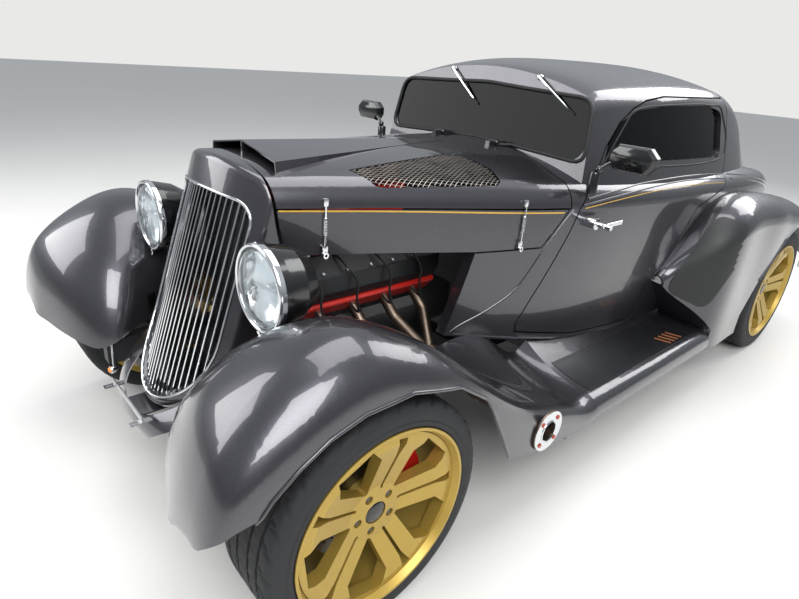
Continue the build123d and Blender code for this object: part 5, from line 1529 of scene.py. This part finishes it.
@dataclass
class Seat:
    """A bucket's cushion and back in padded leather with sewn channels."""

    side: int
    cushion_low: Place = (-0.420, 0.050, 0.3705)
    cushion_high: Place = (0.060, 0.490, 0.500)
    back_low: Place = (-0.575, 0.055, 0.380)
    back_high: Place = (-0.465, 0.485, 1.055)
    back_pivot: Place = (-0.520, 0.270, 0.500)
    lean_deg: float = -16.0
    inset: Place = (0.012, 0.012, 0.010)
    corner: float = 0.026
    channels: int = 5
    channel_depth: float = 0.008
    # The share of the thickness that counts as the face; plain margin beside the channels, as a share of the
    # width; a channel's width over its pitch
    face_share: float = 0.3
    channel_margin: float = 0.08
    channel_w: float = 0.10
    voxel: float = 0.009
    # The padding's pressure, the frames that it has to swell and the farthest that a point may move
    pressure: float = 4.0
    frames: int = 20
    swell: float = 0.022

    def box(self, low: Sequence[float], high: Sequence[float]) -> tuple[Vector, Vector]:
        """The two corners of a pad on this seat's side, a little smaller than the CAD pad."""
        y0, y1 = sorted((self.side * low[1], self.side * high[1]))
        inset = Vector(self.inset)
        return Vector((low[0], y0, low[2])) + inset, Vector((high[0], y1, high[2])) - inset

    def pad(self, name: str, low: Vector, high: Vector, face: int, lean: Matrix,
            pivot: Vector) -> bpy.types.Object:
        """A rounded pad that is puffed up, leaned and given sewn channels.

        Args:
            name: The piece's name.
            low: Its lowest corner before it is leaned.
            high: Its highest corner.
            face: The axis that its main face looks along.
            lean: The rotation.
            pivot: The point that it leans about.

        Returns:
            The finished pad.
        """
        kit = MeshKit().block((low + high) / 2, tuple(high - low), self.corner)
        obj = kit.piece(name, Finishes.LEATHER, "body", "leather", smooth=180)
        remesh = obj.modifiers.new("even", "REMESH")
        remesh.mode, remesh.voxel_size, remesh.use_smooth_shade = "VOXEL", self.voxel, True
        obj.data = bpy.data.meshes.new_from_object(obj.evaluated_get(bpy.context.evaluated_depsgraph_get()))
        obj.modifiers.clear()
        self.puff(obj)
        self.sew(obj, low, high, face)
        for v in obj.data.vertices:
            v.co = pivot + lean @ (v.co - pivot)
        smooth = obj.modifiers.new("smooth", "SUBSURF")
        smooth.levels = smooth.render_levels = 1
        return obj

    def puff(self, obj: bpy.types.Object) -> None:
        """Blows the pad up with a cloth simulation and caps the movement."""
        start = [v.co.copy() for v in obj.data.vertices]
        cloth = obj.modifiers.new("pad", "CLOTH")
        cloth.settings.use_pressure = True
        cloth.settings.uniform_pressure_force = self.pressure
        cloth.settings.effector_weights.gravity = 0.0
        for frame in range(1, self.frames + 1):
            bpy.context.scene.frame_set(frame)
        shape = obj.evaluated_get(bpy.context.evaluated_depsgraph_get()).to_mesh()
        moved = [v.co.copy() for v in shape.vertices]
        obj.modifiers.remove(cloth)
        for v, a, b in zip(obj.data.vertices, start, moved):
            step = b - a
            v.co = a + step * min(1.0, self.swell / max(step.length, 1e-9))
        bpy.context.scene.frame_set(1)

    def sew(self, obj: bpy.types.Object, low: Vector, high: Vector, face: int) -> None:
        """Presses channels into the pad's main face."""
        top, margin = high[face] - self.face_share * (high[face] - low[face]), self.channel_margin
        for v in obj.data.vertices:
            across = ((v.co.y - low.y) / (high.y - low.y) - margin) / (1 - 2 * margin) * self.channels
            if v.co[face] > top and 0 < across < self.channels:
                v.co[face] -= self.channel_depth * math.exp(-((across - round(across)) / self.channel_w) ** 2)

    def build(self) -> None:
        """Cushion and back."""
        tag = SIDE_NAME[self.side]
        low, high = self.box(self.cushion_low, self.cushion_high)
        cushion = self.pad(f"seat_cushion_{tag}", low, high, 2, Matrix.Identity(3), low)
        low, high = self.box(self.back_low, self.back_high)
        pivot = spot(self.side, *self.back_pivot)
        lean = Matrix.Rotation(math.radians(self.lean_deg), 3, "Y")
        back = self.pad(f"seat_back_{tag}", low, high, 0, lean, pivot)
        if self.side > 0:
            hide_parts("seat_cushions")
            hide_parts("seat_backs")


@dataclass
class Cockpit:
    """Gauges on the dash."""

    x: float = 0.3235
    z: float = 0.965
    # Distance from the car's middle and radius of each gauge
    gauges: Outline = ((0.200, 0.048), (0.330, 0.048), (0.060, 0.026), (-0.020, 0.026))
    facing: Place = (-1, 0, 0.1)

    def build(self) -> None:
        """Round gauges with bright bezels."""
        rims, faces, facing = MeshKit(), MeshKit(), Vector(self.facing)
        for y, r in self.gauges:
            centre = Vector((self.x, y, self.z))
            rims.lathe([(r - 0.004, -0.004), (r + 0.002, -0.004), (r + 0.002, 0.004), (r - 0.001, 0.007),
                        (r - 0.004, 0.004)], centre, facing, 36)
            faces.lathe([(0.0, 0.0), (r - 0.003, 0.0), (r - 0.003, 0.002), (0.0, 0.002)], centre, facing, 36,
                        closed=False)
        rims.piece("gauge_bezels", Finishes.CHROME, "body", "chrome", smooth=60)
        faces.piece("gauge_faces", Finishes.GLOSS_BLACK, "body", "trim_dark", smooth=60)


@dataclass
class TailTrim:
    """Chrome rings on the tail lamps and a handle on the deck lid."""

    frame: dict
    lamp: Place = (-2.0184, 0.215, 0.545)
    lamp_r: float = 0.034
    handle_x: float = -1.775
    # The grip from its middle to its end: distance along, height above the lid
    grip: Outline = ((0.0, 0.024), (0.040, 0.020), (0.045, 0.002))
    grip_r: float = 0.006

    def build(self) -> None:
        """Makes rings and handle."""
        kit, r = MeshKit(), self.lamp_r
        ring = [(r, -0.006), (r + 0.005, -0.006), (r + 0.005, 0.004), (r + 0.002, 0.009), (r, 0.006)]
        for side in SIDE_NAME:
            kit.lathe(ring, spot(side, *self.lamp), -AHEAD, 48)
        kit.piece("tail_lamp_rings", Finishes.CHROME, "body", "chrome", smooth=60)
        point, normal = Skin(self.frame, ["deck_lid"]).from_top(self.handle_x, 0.0)
        line = [(-along, height) for along, height in reversed(self.grip[1:])] + list(self.grip)
        path = [point + LEFTWARD * along + normal * height for along, height in line]
        grip = MeshKit().tube(path, self.grip_r, 10)
        grip.piece("deck_handle", Finishes.CHROME, "deck_lid", "chrome", smooth=60)


# CAD nodes


NODE_FINISH: dict[str, Finish] = {
    "paint": Finishes.LACQUER,
    "dark_glass": Finishes.TINTED_GLASS_AND_SHADE,
    "lens_glass": Finishes.LENS,
    "red_lens": Finishes.RED_LENS,
    "tyre": Finishes.RUBBER,
    "gold_wheel": Finishes.GOLD,
    "disc_steel": Finishes.IRON,
    "caliper_red": Finishes.CALIPER,
    "frame_black": Finishes.FRAME,
    "engine_red": Finishes.ENGINE_RED,
    "cover_black": Finishes.COVER_BLACK,
    "header_steel": Finishes.HEADER,
    "chrome": Finishes.CHROME,
    "core_black": Finishes.CORE,
    "mesh_steel": Finishes.MESH,
    "black_plastic": Finishes.GLOSS_BLACK,
    "leather": Finishes.LEATHER,
    "trim_dark": Finishes.LACQUER,
}
NODE_OWN: dict[str, Finish] = {
    "floor_pan": Finishes.CARPET,
    "dashboard": Finishes.LEATHER,
    "steering_wheel": Finishes.LEATHER,
    "headlamp_buckets": Finishes.GLOSS_BLACK,
    "grille_bars": Finishes.CHROME,
    "apron_bracket": Finishes.STEEL,
}


def dress_nodes(frame: dict) -> None:
    """Gives each CAD node its finish."""
    slots = {part["node"]: part["material_slot"] for part in frame["record"]["subparts"]}
    for name, obj in frame["nodes"].items():
        finish = NODE_OWN.get(name, NODE_FINISH[slots[name]])
        obj.data.materials.clear()
        obj.data.materials.append(finish.material())
        LOG.info("node %s: %s", name, finish.name)


def main() -> None:
    """Builds the car around its frame."""
    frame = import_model()
    Studio().build()
    dress_nodes(frame)
    for end, x, z, width in (("front", FRONT_AXLE_X, FRONT_AXLE_Z, 0.235),
                             ("rear", REAR_AXLE_X, REAR_AXLE_Z, 0.285)):
        for side in SIDE_NAME:
            wheel = Wheel(end, side, x, z, width)
            Tyre(wheel).build()
            WheelDress(wheel).build()
    GrilleTrim().build()
    for side in SIDE_NAME:
        Headlamp(side).build()
    BodyTrim(frame).build()
    HoodTrim(frame).build()
    mirrors = [Mirror(side).build() for side in SIDE_NAME]
    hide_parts("mirrors")
    arms = [Wiper("left", (0.250, 1.385), (0.390, 1.298)).build(frame),
            Wiper("right", (-0.200, 1.388), (-0.070, 1.290)).build(frame)]
    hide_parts("wipers")
    EngineTrim().build()
    ExhaustTrim().build()
    FrontTrim().build()
    StoneGuard(frame).build()
    FenderToe(frame).build()
    BoardShadeSheet(frame).build()
    for side in SIDE_NAME:
        Seat(side).build()
    Cockpit().build()
    TailTrim(frame).build()


if __name__ == "__main__":
    main()
